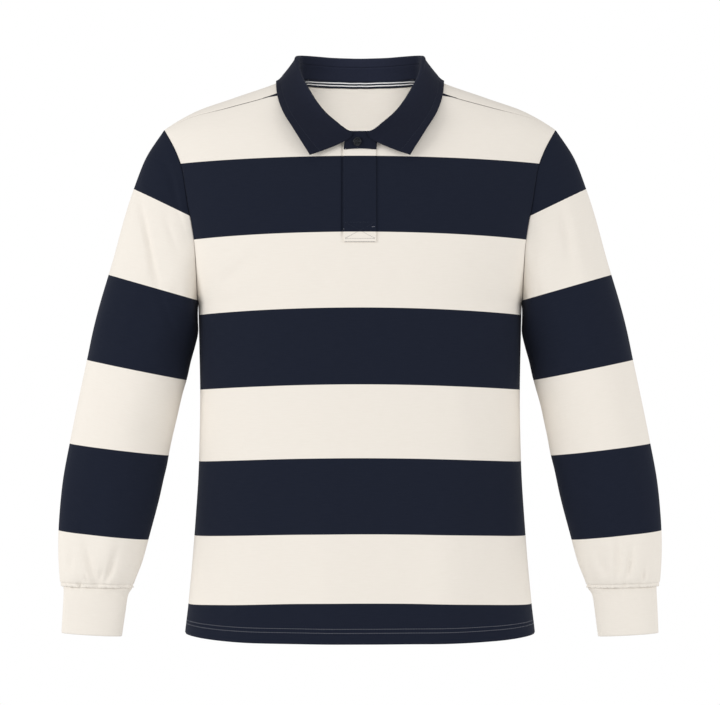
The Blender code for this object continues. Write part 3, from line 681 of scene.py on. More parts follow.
# %% Cloth materials
def node_kit(name, roughness, sheen, sheen_tint):
    """A new material, its shader, and a short way to add a node, link it and set its inputs."""
    material = bpy.data.materials.new(name)
    material.use_nodes = True
    tree = material.node_tree
    shader = tree.nodes["Principled BSDF"]
    shader.inputs["Roughness"].default_value = roughness
    shader.inputs["Specular IOR Level"].default_value = 0.12
    shader.inputs["Sheen Weight"].default_value = sheen
    shader.inputs["Sheen Roughness"].default_value = 0.5
    shader.inputs["Sheen Tint"].default_value = (*sheen_tint, 1.0)

    def add(kind, settings=None, **inputs):
        node = tree.nodes.new(kind)
        for key, value in (settings or {}).items():
            setattr(node, key, value)
        for key, value in inputs.items():
            socket = node.inputs[int(key[1:]) if key[1:].isdigit() else key.replace("_", " ")]
            if isinstance(value, bpy.types.NodeSocket):
                tree.links.new(value, socket)
            else:
                socket.default_value = value
        return node

    return material, shader, add, tree.links


def maths(add, operation, first, second=0.0, third=0.0):
    return add("ShaderNodeMath", {"operation": operation}, i0=first, i1=second, i2=third).outputs[0]


def mixed(add, factor, first, second):
    """A colour between two, each three numbers or a socket, by a factor."""
    colours = [(*value, 1.0) if isinstance(value, tuple) else value for value in (first, second)]
    node = add("ShaderNodeMix", {"data_type": "RGBA"}, i0=factor, i6=colours[0], i7=colours[1])
    return node.outputs[2]


def noise(add, place, scale, detail, **more):
    return add("ShaderNodeTexNoise", Vector=place, Scale=scale, Detail=detail, **more).outputs[0]


def raised(add, height, strength, distance, **more):
    """Directions of a surface raised by a height, up to a distance in metres."""
    return add("ShaderNodeBump", Height=height, Strength=strength, Distance=distance, **more).outputs[0]


def cloth_places(add):
    """The UV map, and the two metre measures in it: across the cloth, and up it."""
    uv = add("ShaderNodeUVMap", {"uv_map": "cloth"}).outputs[0]
    split = add("ShaderNodeSeparateXYZ", i0=uv)
    return uv, split.outputs[0], split.outputs[1]


def wave(add, place, pitch):
    """A sine from 0 to 1 along one coordinate, one wave to each pitch in metres."""
    turned = maths(add, "MULTIPLY", place, 2 * math.pi / pitch)
    return maths(add, "MULTIPLY_ADD", maths(add, "SINE", turned), 0.5, 0.5)


WALE_PITCH = 0.0011
COURSE_PITCH = 0.0008
TWILL_PITCH = 0.00095
SLUBS_PER_METRE = (60.0, 700.0, 1.0)
CREAM = (0.865, 0.815, 0.745)
CREAM_SLUB = (0.83, 0.775, 0.70)
NAVY = (0.0070, 0.0101, 0.0212)
NAVY_WORN = (0.0109, 0.0143, 0.0274)
# How steeply the colour turns at a hoop's edge: about a millimetre from navy to cream.
HOOP_EDGE = 110.0


def knit_material(name, hooped, wale, course, depth):
    """Jersey: navy or cream by the sine of the hoop count, with slubs along the rows and loops in bump."""
    material, shader, add, links = node_kit(name, 0.88, 0.04, (0.85, 0.87, 0.95))
    uv, across, up = cloth_places(add)
    slub_place = add("ShaderNodeMapping", i0=uv, Scale=SLUBS_PER_METRE)
    slub = noise(add, slub_place.outputs[0], 1.0, 3.0)
    cream = mixed(add, slub, CREAM_SLUB, CREAM)
    navy = mixed(add, slub, NAVY, NAVY_WORN)
    colour = cream
    if hooped:
        count = add("ShaderNodeAttribute", {"attribute_name": "hoop"}).outputs["Fac"]
        height = maths(add, "SINE", maths(add, "MULTIPLY", count, math.pi))
        clamped = {"operation": "MULTIPLY_ADD", "use_clamp": True}
        is_cream = add("ShaderNodeMath", clamped, i0=height, i1=HOOP_EDGE, i2=0.5)
        colour = mixed(add, is_cream.outputs[0], navy, cream)
    links.new(colour, shader.inputs["Base Color"])
    loops = maths(add, "MULTIPLY", wave(add, across, wale), wave(add, up, course))
    looped = raised(add, loops, 0.5, depth)
    soft = raised(add, noise(add, uv, 55.0, 4.0), 0.35, 0.0012, Normal=looped)
    links.new(soft, shader.inputs["Normal"])
    return material


def twill_material(name, colour_dark, colour_light):
    """Twill: slanting lines about 1 mm apart from both measures together, and uneven dye as noise."""
    material, shader, add, links = node_kit(name, 0.8, 0.05, (0.75, 0.8, 0.95))
    uv, across, up = cloth_places(add)
    lines = wave(add, maths(add, "ADD", across, up), TWILL_PITCH)
    dye = noise(add, uv, 260.0, 5.0, Roughness=0.7)
    links.new(mixed(add, dye, colour_dark, colour_light), shader.inputs["Base Color"])
    lined = raised(add, lines, 0.6, 0.00012)
    soft = raised(add, noise(add, uv, 90.0, 4.0), 0.4, 0.001, Normal=lined)
    links.new(soft, shader.inputs["Normal"])
    return material


FINISHES = {
    "jersey_hooped": knit_material("hooped_jersey", True, WALE_PITCH, COURSE_PITCH, 0.00012),
    "cuff_knit": knit_material("cuff_knit", False, 0.0014, COURSE_PITCH, 0.00022),
    "collar_twill": twill_material("collar_twill", (0.0050, 0.0066, 0.0150), (0.0104, 0.0130, 0.0262)),
}
print("materials:", ", ".join(material.name for material in FINISHES.values()))

# %% [markdown]
# ## Creases
#
# Worn jersey hardly wrinkles, but it is never flat. Long soft troughs hang from the chest and the shoulder
# blades, short ones gather at the armpits and where the elbow bends. Each is a line between two places with
# a width and a depth: a Gaussian across it, fading at both ends. Their sum moves the outer points along
# their normals.


# %% Creases
def crease_heights(across, up, creases):
    """The sum of all creases on a panel: deep * exp(-(distance / width)^2), faded at each line's ends."""
    total = np.zeros_like(across)
    fade = 2.5
    for x0, z0, x1, z1, wide, deep in creases:
        run = np.array([x1 - x0, z1 - z0])
        long = np.hypot(*run)
        share_on = ((across - x0) * run[0] + (up - z0) * run[1]) / long**2
        apart = np.abs((across - x0) * run[1] - (up - z0) * run[0]) / long
        share_on = np.clip(share_on, 0, 1)
        ends = ease(share_on * fade) * ease((1 - share_on) * fade)
        total += deep * ends * bell(apart, 0, wide)
    return total


FRONT_CREASES = (
    (-196, -262, -120, -212, 9, -1.4),
    (-190, -246, -128, -190, 7, 1),
    (198, -258, 126, -206, 9, -1.5),
    (188, -290, 140, -262, 8, -1),
    (-200, -330, -150, -318, 10, 0.9),
    (-148, -300, -172, -520, 15, -1.3),
    (120, -330, 150, -560, 16, 1.2),
    (-60, -400, -48, -700, 18, 1),
    (30, -470, 22, -710, 15, -0.9),
    (172, -420, 180, -700, 13, -1.1),
    (-176, -560, -160, -712, 12, 1.1),
    (62, -110, 150, -150, 13, 0.7),
    (-66, -112, -160, -158, 14, 0.7),
    (34, -204, 70, -300, 13, -0.6),
    (-30, -206, -64, -290, 12, -0.6),
)
BACK_CREASES = (
    (-190, -240, -110, -196, 11, -1.8),
    (186, -236, 104, -204, 12, -1.7),
    (-150, -120, -190, -200, 12, 1.2),
    (154, -126, 192, -206, 12, 1.1),
    (-120, -250, -86, -600, 20, 1.8),
    (96, -230, 60, -560, 20, -1.7),
    (-30, -300, -44, -700, 18, -1.4),
    (150, -320, 166, -690, 16, 1.5),
    (10, -480, 26, -712, 16, 1.2),
    (-190, -440, -170, -700, 14, -1.3),
)

# %% [markdown]
# ## Front and back
#
# Both panels are one grid each. Low down, its rows lie level and its columns share out the half section by
# angle, so they crowd towards the side seams where it turns fast. Above the chest, the columns climb the
# shoulder's arches to the neck and the shoulder seam, and the last one follows the armhole. The front
# leaves out the slit that the placket fills.

# %% Front and back
HEM_RISE_FADES = 55.0
LOWER_HEIGHTS = np.concatenate([[-719.0, -716.5, -713.0], np.linspace(-708, ARMPIT_HEIGHT, 84)])
ARMPIT_LINES = 20
# The half width in which the columns are shared out by angle.
COLUMNS_HALF = 213.0
RISES = np.linspace(0, 1, 46)
FRONT_ARCS = np.linspace(27.0, SHOULDER_POINT, 25)
BACK_ARCS = np.linspace(SHOULDER_POINT, CENTRE_BACK, 36)
SHOULDER_XS = np.linspace(84.0, 258.0, 36)[1:]
# Upright columns: four across half of the slit, then five at the placket's edge, close enough for a groove.
SLIT_XS = np.array([0.0, 7.0, 13.5, SLIT_HALF])
GROOVE_XS = np.array([21.0, 22.0, 22.9, 23.8, 25.0])
UPRIGHT_XS = np.concatenate([SLIT_XS, GROOVE_XS])
GROOVE_ARCS = np.linspace(20.0, 27.0, 15)


def hem_rise(u, height):
    """How much a row rises at the share u of the half width: most at the hem, and nothing higher up."""
    fade = 1 - ease((height - BODY["height"][0]) / HEM_RISE_FADES)
    return HEM_RISE_AT_SIDES * np.abs(u) ** 5 * fade


def panel_half(side, hand):
    """Points of one half of the front or the back, from the centre out, with rows from the hem to the top.

    They lie where x rises, but have the folds of the half on the given hand: 1 is the left, -1 the right.
    """
    front = side == "front"
    gap = SEAM_GAP / 2
    arcs = FRONT_ARCS if front else BACK_ARCS[::-1]
    neck_x = along(NECK, "across", arcs)
    neck_turn = along(NECK, "turn", arcs)
    shoulder_turn = along(SHOULDER_SEAM, "turn", SHOULDER_XS)
    tops = np.concatenate([neck_x, SHOULDER_XS])
    turns = np.concatenate([neck_turn, shoulder_turn])
    per_degree = np.linalg.norm(over_shoulder(tops, turns + 0.5) - over_shoulder(tops, turns - 0.5), axis=-1)
    turns[len(neck_x) - 1 :] += ((-gap if front else gap) / per_degree)[len(neck_x) - 1 :]
    start = neck_x[0] if front else 0.0
    upright_turn = np.interp(GROOVE_XS, along(NECK, "across", GROOVE_ARCS), along(NECK, "turn", GROOVE_ARCS))
    upright_turn = np.concatenate([np.full(len(SLIT_XS), PLACKET_TOP_TURN), upright_turn])
    first = math.degrees(math.asin((start / COLUMNS_HALF) ** (SQUARENESS / 2)))
    low = np.sin(np.radians(np.linspace(first, 90, len(tops)))) ** (2 / SQUARENESS)
    high = tops / SHOULDER_XS[-1]
    rows = []
    step_heights = armhole_height(180 - np.arange(1, ARMPIT_LINES + 1) * (180 - TOP_ARC) / ARMPIT_LINES)
    for height in (*LOWER_HEIGHTS, *step_heights):
        over = height > ARMPIT_HEIGHT
        edge = along(ARMHOLE, "across", height) if over else along(BODY, "half_width", height)
        x = edge * low
        if front:
            x = start + (edge - start) * (low - low[0]) / (1 - low[0])
            x = np.concatenate([UPRIGHT_XS, x])
        height = height + hem_rise(x / edge, height)
        y = panel_depth(hand * x, height, side)
        rows.append(np.stack([x, -y if front else y, height], -1))
    for rise in RISES[1:]:
        edge_point = armhole_loop(TOP_ARC * (1 - rise) * (1 if front else -1))
        x = edge_point[0] * (low * (1 - rise) + high * rise)
        turn = turns * rise if front else 180 - (180 - turns) * rise
        if front:
            span = (edge_point[0] - start) / (edge_point[0] - x[0])
            x = start + (x - x[0]) * span
            x = np.concatenate([UPRIGHT_XS, x])
            turn = np.concatenate([upright_turn * rise, turn])
        row = over_shoulder(x, turn)
        row[-1] = edge_point
        rows.append(row)
    points = np.array(rows)
    points[:, -1, 1] += np.where(np.abs(points[:, -1, 1]) < gap, -gap if front else gap, 0.0)
    return points


SIDE_CREASES = {"front": FRONT_CREASES, "back": BACK_CREASES}
GROOVE_AT = -22.9
GROOVE_HALF = 1.6
GROOVE_DEPTH = 1.6


def placket_groove(x, z):
    """The narrow valley along the placket's right edge, from its foot to the neck, as a depth."""
    across = np.clip(1 - np.abs(x - GROOVE_AT) / GROOVE_HALF, 0, 1)
    return -GROOVE_DEPTH * ease(across) * ease((z - PLACKET_BOTTOM - 3) / 12)


def whole_panel(side):
    """Both halves of a panel, with their directions outward, and with the creases pressed in."""
    left, right = (mirrored(panel_half(side, hand), hand) for hand in (1.0, -1.0))
    points = np.concatenate([right[:, :0:-1], left], axis=1)
    normals = body_normals(points)
    fade = np.linspace(0, 1, 12)
    inside = np.concatenate([fade, np.ones(points.shape[1] - 2 * len(fade)), np.linspace(1, 0, len(fade))])
    x, z = points[..., 0], points[..., 2]
    press = crease_heights(x, z, SIDE_CREASES[side]) * ease(inside)
    if side == "front":
        press = press + placket_groove(x, z)
    return points + normals * press[..., None], normals


def outside_slit(points):
    """Which faces of the front stay: all but those in the slit above the placket's foot."""
    x, z = points[..., 0], points[..., 2]
    middle = (x[:-1, :-1] + x[1:, 1:]) / 2
    low = (z[:-1, :-1] + z[1:, 1:]) / 2
    return ~((np.abs(middle) < SLIT_HALF - 0.01) & (low > CHEST_HEIGHT))


front_points, front_normals = whole_panel("front")
front_cloth, front_area = cloth("front_jersey", "front", front_points, front_normals, JERSEY_SHOWN,
                                "jersey_hooped", keep=outside_slit, hoops=body_hoops)
back_points, back_normals = whole_panel("back")
back_cloth, back_area = cloth("back_jersey", "back", back_points, back_normals, JERSEY_SHOWN,
                              "jersey_hooped", hoops=body_hoops)

# %% [markdown]
# ## Sleeves
#
# Each sleeve is a closed tube, so its grid joins the last column to the first. Fine folds are added to the
# folds of its table: a few at the elbow and the cap, and a ring of small puckers where the full end is drawn
# into the cuff. The two sleeves differ a little, because no two hang alike.

# %% Sleeves
SLEEVE_SECTIONS = np.concatenate([np.linspace(0, 12, 118), np.linspace(12, CUFF_SEAM, 40)[1:]])
SLEEVE_ANGLES = np.arange(200) * 1.8
ARMHOLE_LINE = unit(np.array([225.2, 0.0, -44.8]))
# Section and angle of each fold, how far it slants from section to section, its reach in both, and its depth.
FINE_FOLDS = {
    1.0: table(
        "section angle slant sections degrees deep",
        (0.8, 105, 0, 0.5, 9, -1),
        (1.6, 52, 0, 0.9, 8, 0.8),
        (2.35, 64, 6, 0.8, 8, -4),
        (2.4, 120, 0, 0.8, 10, -1.1),
        (3.2, 45, 0, 1.1, 9, -0.9),
        (4.9, 100, 0, 0.9, 10, 1),
        (7.4, 165, 0, 0.35, 30, -1.3),
        (7.9, 100, 0, 0.4, 26, -0.8),
        (8.6, 175, 0, 0.35, 26, 1.1),
        (9.4, 110, 0, 0.45, 24, -1),
        (10.2, 60, 0, 0.8, 12, 0.9),
        (11.4, 120, 0, 0.7, 11, -1.1),
        (12.3, 80, 0, 0.9, 8, -1.2),
        (12.5, 40, 0, 0.8, 8, 0.9),
        (12.2, 95, 4, 1, 6, -4),
        (12.5, 80, 9, 0.7, 4.5, -3.2),
        (13.1, 58, 2, 0.5, 3.5, -2.6),
        (12.3, 120, -4, 0.5, 7, -2),
        (7.7, 250, 0, 0.4, 30, -1.5),
        (9, 280, 0, 0.4, 24, -1.2),
        (13.7, 262, 4, 1, 6, -1.8),
    ),
    -1.0: table(
        "section angle slant sections degrees deep",
        (0.6, 58, 0, 0.14, 22, -1.9),
        (0.36, 62, 0, 0.12, 22, 1.3),
        (1.8, 80, 0, 1, 9, 0.7),
        (2.8, 64, 41, 0.8, 10, -4.8),
        (1.45, 82, 0, 0.2, 12, -1.2),
        (2.8, 112, 0, 0.9, 9, -1.3),
        (4.2, 58, 0, 1, 9, -0.8),
        (5.3, 110, 0, 0.8, 12, 0.9),
        (7.2, 160, 0, 0.4, 28, -1.1),
        (8.3, 120, 0, 0.4, 26, -1),
        (8.9, 170, 0, 0.3, 24, 1),
        (9.8, 100, 0, 0.5, 22, -0.9),
        (10.6, 50, 0, 0.9, 12, -0.9),
        (11.7, 100, 0, 0.7, 10, 1),
        (12.7, 109, -4, 0.8, 5, -3.8),
        (12.5, 80, 12, 1.1, 7, -4.2),
        (12.3, 48, 0, 0.5, 7, -1.8),
        (13, 97, 0, 0.5, 3.5, -2.2),
        (13.3, 74, 8, 0.4, 3, -2.2),
        (14.4, 62, 4, 0.4, 3.5, -1.8),
        (7.9, 245, 0, 0.4, 28, -1.4),
        (9.3, 290, 0, 0.4, 24, -1.1),
        (13.6, 275, -4, 1.1, 6, -1.9),
    ),
}
# How many soft puckers go round the sleeve's end, how deep they are, and how many finer ones break its roll.
PUCKERS = 26
PUCKER_DEPTH = 0.6
PEARLS = 56


def folds_at(section, angle, folds):
    """The sum of dents: deep * exp(-(sections / reach)^2 - (degrees / width)^2), each on its own slant."""
    total = np.zeros(np.broadcast(section, angle).shape)
    for at, turn, slant, long, wide, deep in zip(*folds.values()):
        apart = wrapped(angle - turn - slant * (section - at))
        total += deep * np.exp(-(((section - at) / long) ** 2) - (apart / wide) ** 2)
    return total


def puckers_at(angle, shift, count=PUCKERS):
    """Uneven small puckers round the seam: a wave whose crests drift and differ in height."""
    turn = np.radians(angle)
    drift = 0.35 * np.sin(3 * turn + shift) + 0.25 * np.sin(7 * turn + 2 * shift)
    height = 0.65 + 0.35 * np.sin(5 * turn + 3 * shift) * np.sin(2 * turn + shift)
    return height * np.cos(count * turn + 2 * drift)


def rolled_end(section, angle, side):
    """The sleeve's end rolls over the cuff seam: a valley, then a ridge broken into small fine puckers."""
    ridge = bell(section, 14.5, 0.2)
    valley = bell(section, 14.0, 0.14)
    return ridge * (0.9 + 0.8 * puckers_at(angle, 2 * side, PEARLS)) - 0.9 * valley


def sleeve_cloth(side):
    """A sleeve's points and outward directions, mirrored for the right one."""
    section, angle = np.meshgrid(SLEEVE_SECTIONS, SLEEVE_ANGLES, indexing="ij")
    points = sleeve_surface(section, angle)
    points = points + SEAM_GAP * (1 - ease(section))[..., None] * ARMHOLE_LINE
    normals = surface_normals(sleeve_surface, section, angle)
    normals[0] = seam_normals(normals[0], body_normals(armhole_loop(angle[0])))
    to_seam = CUFF_SEAM - section
    press = folds_at(section, angle, FINE_FOLDS[side]) * ease(to_seam / 0.55)
    near_cuff = ease((section - 13.2) / 1.2) * ease((CUFF_SEAM + 0.02 - section) / 0.25)
    press = press + PUCKER_DEPTH * near_cuff * puckers_at(angle, side) + rolled_end(section, angle, side)
    points = points + normals * (press * ease(section / 0.6) * ease(to_seam / 0.1))[..., None]
    return mirrored(points, side), mirrored(normals, side)


SIDES = {"left": 1.0, "right": -1.0}
sleeve_objects = {}
for word, side in SIDES.items():
    points, normals = sleeve_cloth(side)
    sleeve_objects[word], sleeve_area = cloth(f"sleeve_{word}_jersey", f"sleeve_{word}", points, normals,
                                              JERSEY_SHOWN, "jersey_hooped", closed=True, hoops=sleeve_hoops)

# %% [markdown]
# ## Cuffs
#
# A cuff is a short tube of close knit, doubled, so it is smooth and its free edge is a round fold. Just
# under its seam the cloth still shows the puckers of the fuller sleeve, which fade within a finger's width.

# %% Cuffs
CUFF_SECTIONS = np.linspace(0, 3, 34)
CUFF_THICK = 1.5
# How far the top row is raised into the seam's gap, so that no dark line shows there.
CUFF_TUCK = 0.6


def cuff_cloth(side):
    """A cuff's points and outward directions. An ellipse's direction is cos t a/|a|^2 + sin t b/|b|^2."""
    section, angle = np.meshgrid(CUFF_SECTIONS, SLEEVE_ANGLES, indexing="ij")
    points = tube(CUFF, section, angle)
    across = (tube(CUFF, section, 0 * angle) - tube(CUFF, section, 0 * angle + 180)) / 2
    deep = (tube(CUFF, section, 0 * angle + 90) - tube(CUFF, section, 0 * angle + 270)) / 2
    turn = np.radians(angle)[..., None]
    normals = np.cos(turn) * across / (across**2).sum(-1, keepdims=True)
    normals = unit(normals + np.sin(turn) * deep / (deep**2).sum(-1, keepdims=True))
    puckered = bell(section, 0, 0.55) * ease(section / 0.08)
    press = 0.35 * puckered * puckers_at(angle, side) - 0.15 * bell(section, 0, 0.12)
    up = unit(tube(CUFF, 0 * section, angle) - tube(CUFF, 0 * section + 1, angle))
    points = points + CUFF_TUCK * bell(section, 0, 0.08)[..., None] * up
    press = press + 0.35 * np.sin(np.radians(angle) * 3 + side) * np.sin(section * 1.1)
    return mirrored(points + normals * press[..., None], side), mirrored(normals, side)


cuff_objects = {}
for word, side in SIDES.items():
    points, normals = cuff_cloth(side)
    cuff_objects[word], _ = cloth(f"cuff_{word}_knit", f"cuff_{word}", points, normals, CUFF_THICK,
                                  "cuff_knit", closed=True)

# %% [markdown]
# ## Placket
#
# The placket is a strip of the same jersey, folded and laid over the slit, so it follows the front's
# surface a cloth's thickness out, and reads the front's own hoops. Its edges are folds, which puff a little
# between the rows of stitches that hold them down.

# %% Placket
PLACKET_THICK = 1.35


def placket_points(columns, heights, rises):
    """The front's surface down the middle: level rows at the heights, then rows up the arch by turn."""
    x = np.asarray(columns, float)
    low = []
    for height in heights:
        z = np.full_like(x, height)
        low.append(np.stack([x, -panel_depth(x, z, "front"), z], -1))
    high = [over_shoulder(x, np.full_like(x, PLACKET_TOP_TURN * rise)) for rise in rises]
    return np.array(low + high)


def placket_pieces():
    """The under placket, which fills the slit, and the strip over it, puffed at its edges by the stitches."""
    half = SLIT_HALF - SEAM_GAP
    under = placket_points(np.linspace(-half, half, 9), (CHEST_HEIGHT + SEAM_GAP,), np.linspace(0.03, 1, 30))
    below, _ = cloth("placket_under_jersey", "placket_under", under, body_normals(under), JERSEY_SHOWN,
                     "jersey_hooped", hoops=body_hoops)
    columns = np.linspace(-PLACKET_HALF, PLACKET_HALF, 29)
    heights = np.linspace(PLACKET_BOTTOM, CHEST_HEIGHT, 9)[:-1]
    top = placket_points(columns, heights, np.linspace(0, 1, 56))
    normals = body_normals(top)
    normals[-1] = collar_frame(columns, np.full(len(columns), PLACKET_TOP_TURN))[3]
    out_by = np.abs(np.linspace(-1, 1, len(columns)))
    puff = 0.35 * bell(out_by, 0.94, 0.05) - 0.25 * bell(out_by, 0.86, 0.03)
    outer = top + normals * (SEAM_GAP + PLACKET_THICK + puff[None, :, None])
    piece, _ = cloth("placket_jersey", "placket_top", outer, normals, PLACKET_THICK,
                     "jersey_hooped", hoops=body_hoops)
    return piece, below


def neck_arc(ring):
    """Places round the whole neck, measured along its nearer half from the centre front."""
    return np.where(ring <= CENTRE_BACK, ring, 2 * CENTRE_BACK - ring)


def round_neck(columns, ring):
    """Columns of the neck table at places round the whole neck: 0 and 562 are the centre front."""
    ring = np.asarray(ring, float)
    side = np.where(ring <= CENTRE_BACK, 1.0, -1.0)
    found = []
    for name in columns.split():
        value = along(NECK, name, neck_arc(ring))
        found.append(value * side if name in ("across", "fold_x", "edge_x") else value)
    return found[0] if len(found) == 1 else np.stack(found, -1)


def collar_frame(ring, turn=None):
    """The neck seam, the fold line, and the directions up the band and out of it, round the neck."""
    across = round_neck("across", ring)
    if turn is None:
        turn = round_neck("turn", ring)
    seam = over_shoulder(across, turn)
    fold = round_neck("fold_x fold_y fold_z", ring)
    tangent = round_neck("fold_x fold_y fold_z", ring + 1.0) - round_neck("fold_x fold_y fold_z", ring - 1.0)
    up = unit(fold - seam)
    return seam, fold, up, unit(np.cross(tangent, up))


placket_cloth, placket_under_cloth = placket_pieces()

# %% [markdown]
# ## Collar
#
# The collar is two pieces of twill: a band that stands up round the neck and laps over itself at the centre
# front, and a leaf sewn to the band's top that folds over and falls. At every place round the neck the leaf
# is one curve: up the inside, a half circle over the fold, then a quadratic curve out to its edge, whose
# middle control point keeps it close to the band before it flares. Where it would touch the shoulder, it is
# pushed out along the arch.

# %% Collar
STEP_START, STEP_RUN = 24.0, 26.0
# How far beyond the slit the band's under end begins to drop behind it.
UNDER_END_MARGIN = 1.7


def step_out(arc):
    """How far the collar stands out near the centre front, where one end of the band laps over the other."""
    return (BAND_STEP_OUT * (1 - ease((arc - STEP_START) / STEP_RUN)))[..., None]


def band_surface(ring, height):
    """The band's outer face: height is 0 at the neck seam and 1 under the leaf. Its ends lap in front."""
    arc = neck_arc(ring)
    over = ring <= CENTRE_BACK
    dropped = np.where(over, 22.0 - arc, (SLIT_HALF + UNDER_END_MARGIN - arc) / 2.1)
    dropped = np.clip(dropped, 0, 1)
    turn = round_neck("turn", ring) * (1 - dropped) + PLACKET_TOP_TURN * dropped
    seam, fold, up, out = collar_frame(ring, turn)
    rise = round_neck("rise", ring)[..., None]
    base = seam + SEAM_GAP * up
    top = fold - (FOLD_RADIUS + rise + BAND_UNDER_LEAF) * up - (FOLD_RADIUS - TWILL) * out
    return base + (top - base) * height + np.where(over[..., None], step_out(arc), 0.0) * out, out


def clear_of_body(points, gap):
    """Points pushed out from the shoulder's arch until they stand clear of the body by about the gap."""
    x, y, z = np.moveaxis(points, -1, 0)
    raised = np.where(y < 0, panel_depth(x, z, "front"), panel_depth(x, z, "back"))
    up = z - CHEST_HEIGHT
    inside = np.hypot(y / raised, up / arch_height(x))
    reach = np.hypot(y, up)
    scale = np.maximum((reach / inside + gap) / reach, 1.0)
    return np.stack([x, y * scale, CHEST_HEIGHT + up * scale], -1)


# How deep the fold sinks at the leaf's ends, so that they don't stand over the band, and over what length.
LEAF_END_DROP, LEAF_END_RUN = 3.4, 17.0


def leaf_surface(ring, place):
    """The leaf's visible face: place is 0 to 1 up the inside, 1 to 2 over the fold and 2 to 3 down."""
    _, fold, up, out = collar_frame(ring)
    fold = fold + step_out(neck_arc(ring)) * out
    edge = round_neck("edge_x edge_y edge_z", ring)
    roll = round_neck("roll", ring)[..., None]
    near_end = 1 - ease((neck_arc(ring) - LEAF_ENDS[0]) / LEAF_END_RUN)[..., None]
    fold = fold - LEAF_END_DROP * near_end * up
    rise = np.maximum(round_neck("rise", ring)[..., None] - LEAF_END_DROP * near_end, 0.2)
    place = place[..., None]
    centre = fold - FOLD_RADIUS * up
    inside = centre - FOLD_RADIUS * out - rise * up * (1 - place)
    turn = np.pi * (2 - np.clip(place, 1, 2))
    round_fold = np.cos(turn) * out + np.sin(turn) * up
    begin = centre + FOLD_RADIUS * out
    down = np.clip(place - 2, 0, 1)
    pull = begin - up * roll * np.linalg.norm(edge - begin, axis=-1, keepdims=True)
    fall = begin * (1 - down) ** 2 + pull * 2 * down * (1 - down) + edge * down**2
    fall = fall + (clear_of_body(fall, TWILL + LEAF_CLEARANCE) - fall) * ease(down * 4)
    points = np.where(place <= 1, inside, np.where(place <= 2, centre + FOLD_RADIUS * round_fold, fall))
    return points, round_fold


# The band's top edge runs on a little under the leaf's inner end and steps out, so that no daylight shows.
BAND_REACH = 1.05
BAND_STEP = 0.35


def fine_band_ring():
    """Places round the neck, close together, with both sides of each step of the lower edge."""
    centre = 2 * CENTRE_BACK
    under = np.linspace(SLIT_HALF - 0.4, SEAM_GAP - SLIT_HALF, 20)
    lap = np.linspace(-BAND_END, 21, 24)
    rest = np.linspace(22, centre - SLIT_HALF - UNDER_END_MARGIN, 160)
    return np.concatenate([lap, rest, centre - under])


def collar_band():
    ring, height = np.meshgrid(fine_band_ring(), np.linspace(0, BAND_REACH, 12))
    outer, out = band_surface(ring, height[..., None])
    bow = 0.5 * np.sin(np.pi * np.minimum(height, 1)) + BAND_STEP * ease((height - 0.985) / 0.02)
    outer = outer + bow[..., None] * out
    return cloth("collar_band_twill", "collar_band", outer, out, TWILL, "collar_twill")[0]


def collar_leaf():
    """The leaf, with the groove that its stitches press near the edge and a slow sway along it."""
    ring = np.linspace(LEAF_ENDS[0], 2 * CENTRE_BACK - LEAF_ENDS[0], 200)
    place = np.concatenate([np.linspace(0, 1, 6), np.linspace(1, 2, 15)[1:], np.linspace(2, 3, 38)[1:]])
    ring, place = np.meshgrid(ring, place)
    outer, normals = leaf_surface(ring, place)
    step = 0.01
    down = leaf_surface(ring, place + step)[0] - leaf_surface(ring, place - step)[0]
    round_it = leaf_surface(ring + 1, place)[0] - leaf_surface(ring - 1, place)[0]
    normals = np.where(place[..., None] <= 2, normals, unit(np.cross(down, round_it)))
    falls = np.clip(place - 2, 0, 1)
    groove = -0.35 * bell(falls, 0.86, 0.03) + 0.25 * bell(falls, 0.95, 0.05)
    sway = 0.8 * falls**2 * np.sin(ring / 31.0 + 0.7) * np.sin(ring / 83.0)
    outer = outer + normals * (np.where(place > 2, groove, 0) + sway)[..., None]
    piece, area = cloth("collar_leaf_twill", "collar_leaf", outer, normals, TWILL, "collar_twill")
    return piece, area, outer, normals


collar_band_cloth = collar_band()
collar_leaf_cloth, leaf_area, leaf_outer, leaf_normals = collar_leaf()

# %% [markdown]
# ## Neck tape
#
# Inside the back of the neck a narrow woven tape covers the seam. Its two white stripes are woven in, at
# fixed distances from its middle, so the material reads the UV map's height along the tape.

# %% Neck tape
TAPE_STRIPES = (2.2, -2.0)
STRIPE_HALF = 0.82
# The tape's two edges, as shares of the arch below and above the neck seam. It overlaps the band a little.
TAPE_OVERLAP_SHARE = 0.0085
TAPE_HEIGHT_SHARE = 0.055


def tape_material():
    """Navy, with white within half a stripe of each stripe's line."""
    material, shader, add, links = node_kit("neck_tape_weave", 0.75, 0.1, (0.9, 0.9, 0.9))
    _, across, up = cloth_places(add)
    stripes = 0.0
    for place in TAPE_STRIPES:
        apart = maths(add, "ABSOLUTE", maths(add, "SUBTRACT", up, place * MM))
        stripes = maths(add, "MAXIMUM", maths(add, "LESS_THAN", apart, STRIPE_HALF * MM), stripes)
    colour = mixed(add, stripes, NAVY, (0.86, 0.86, 0.86))
    links.new(colour, shader.inputs["Base Color"])
    links.new(raised(add, wave(add, across, 0.0009), 0.5, 0.00015), shader.inputs["Normal"])
    return material


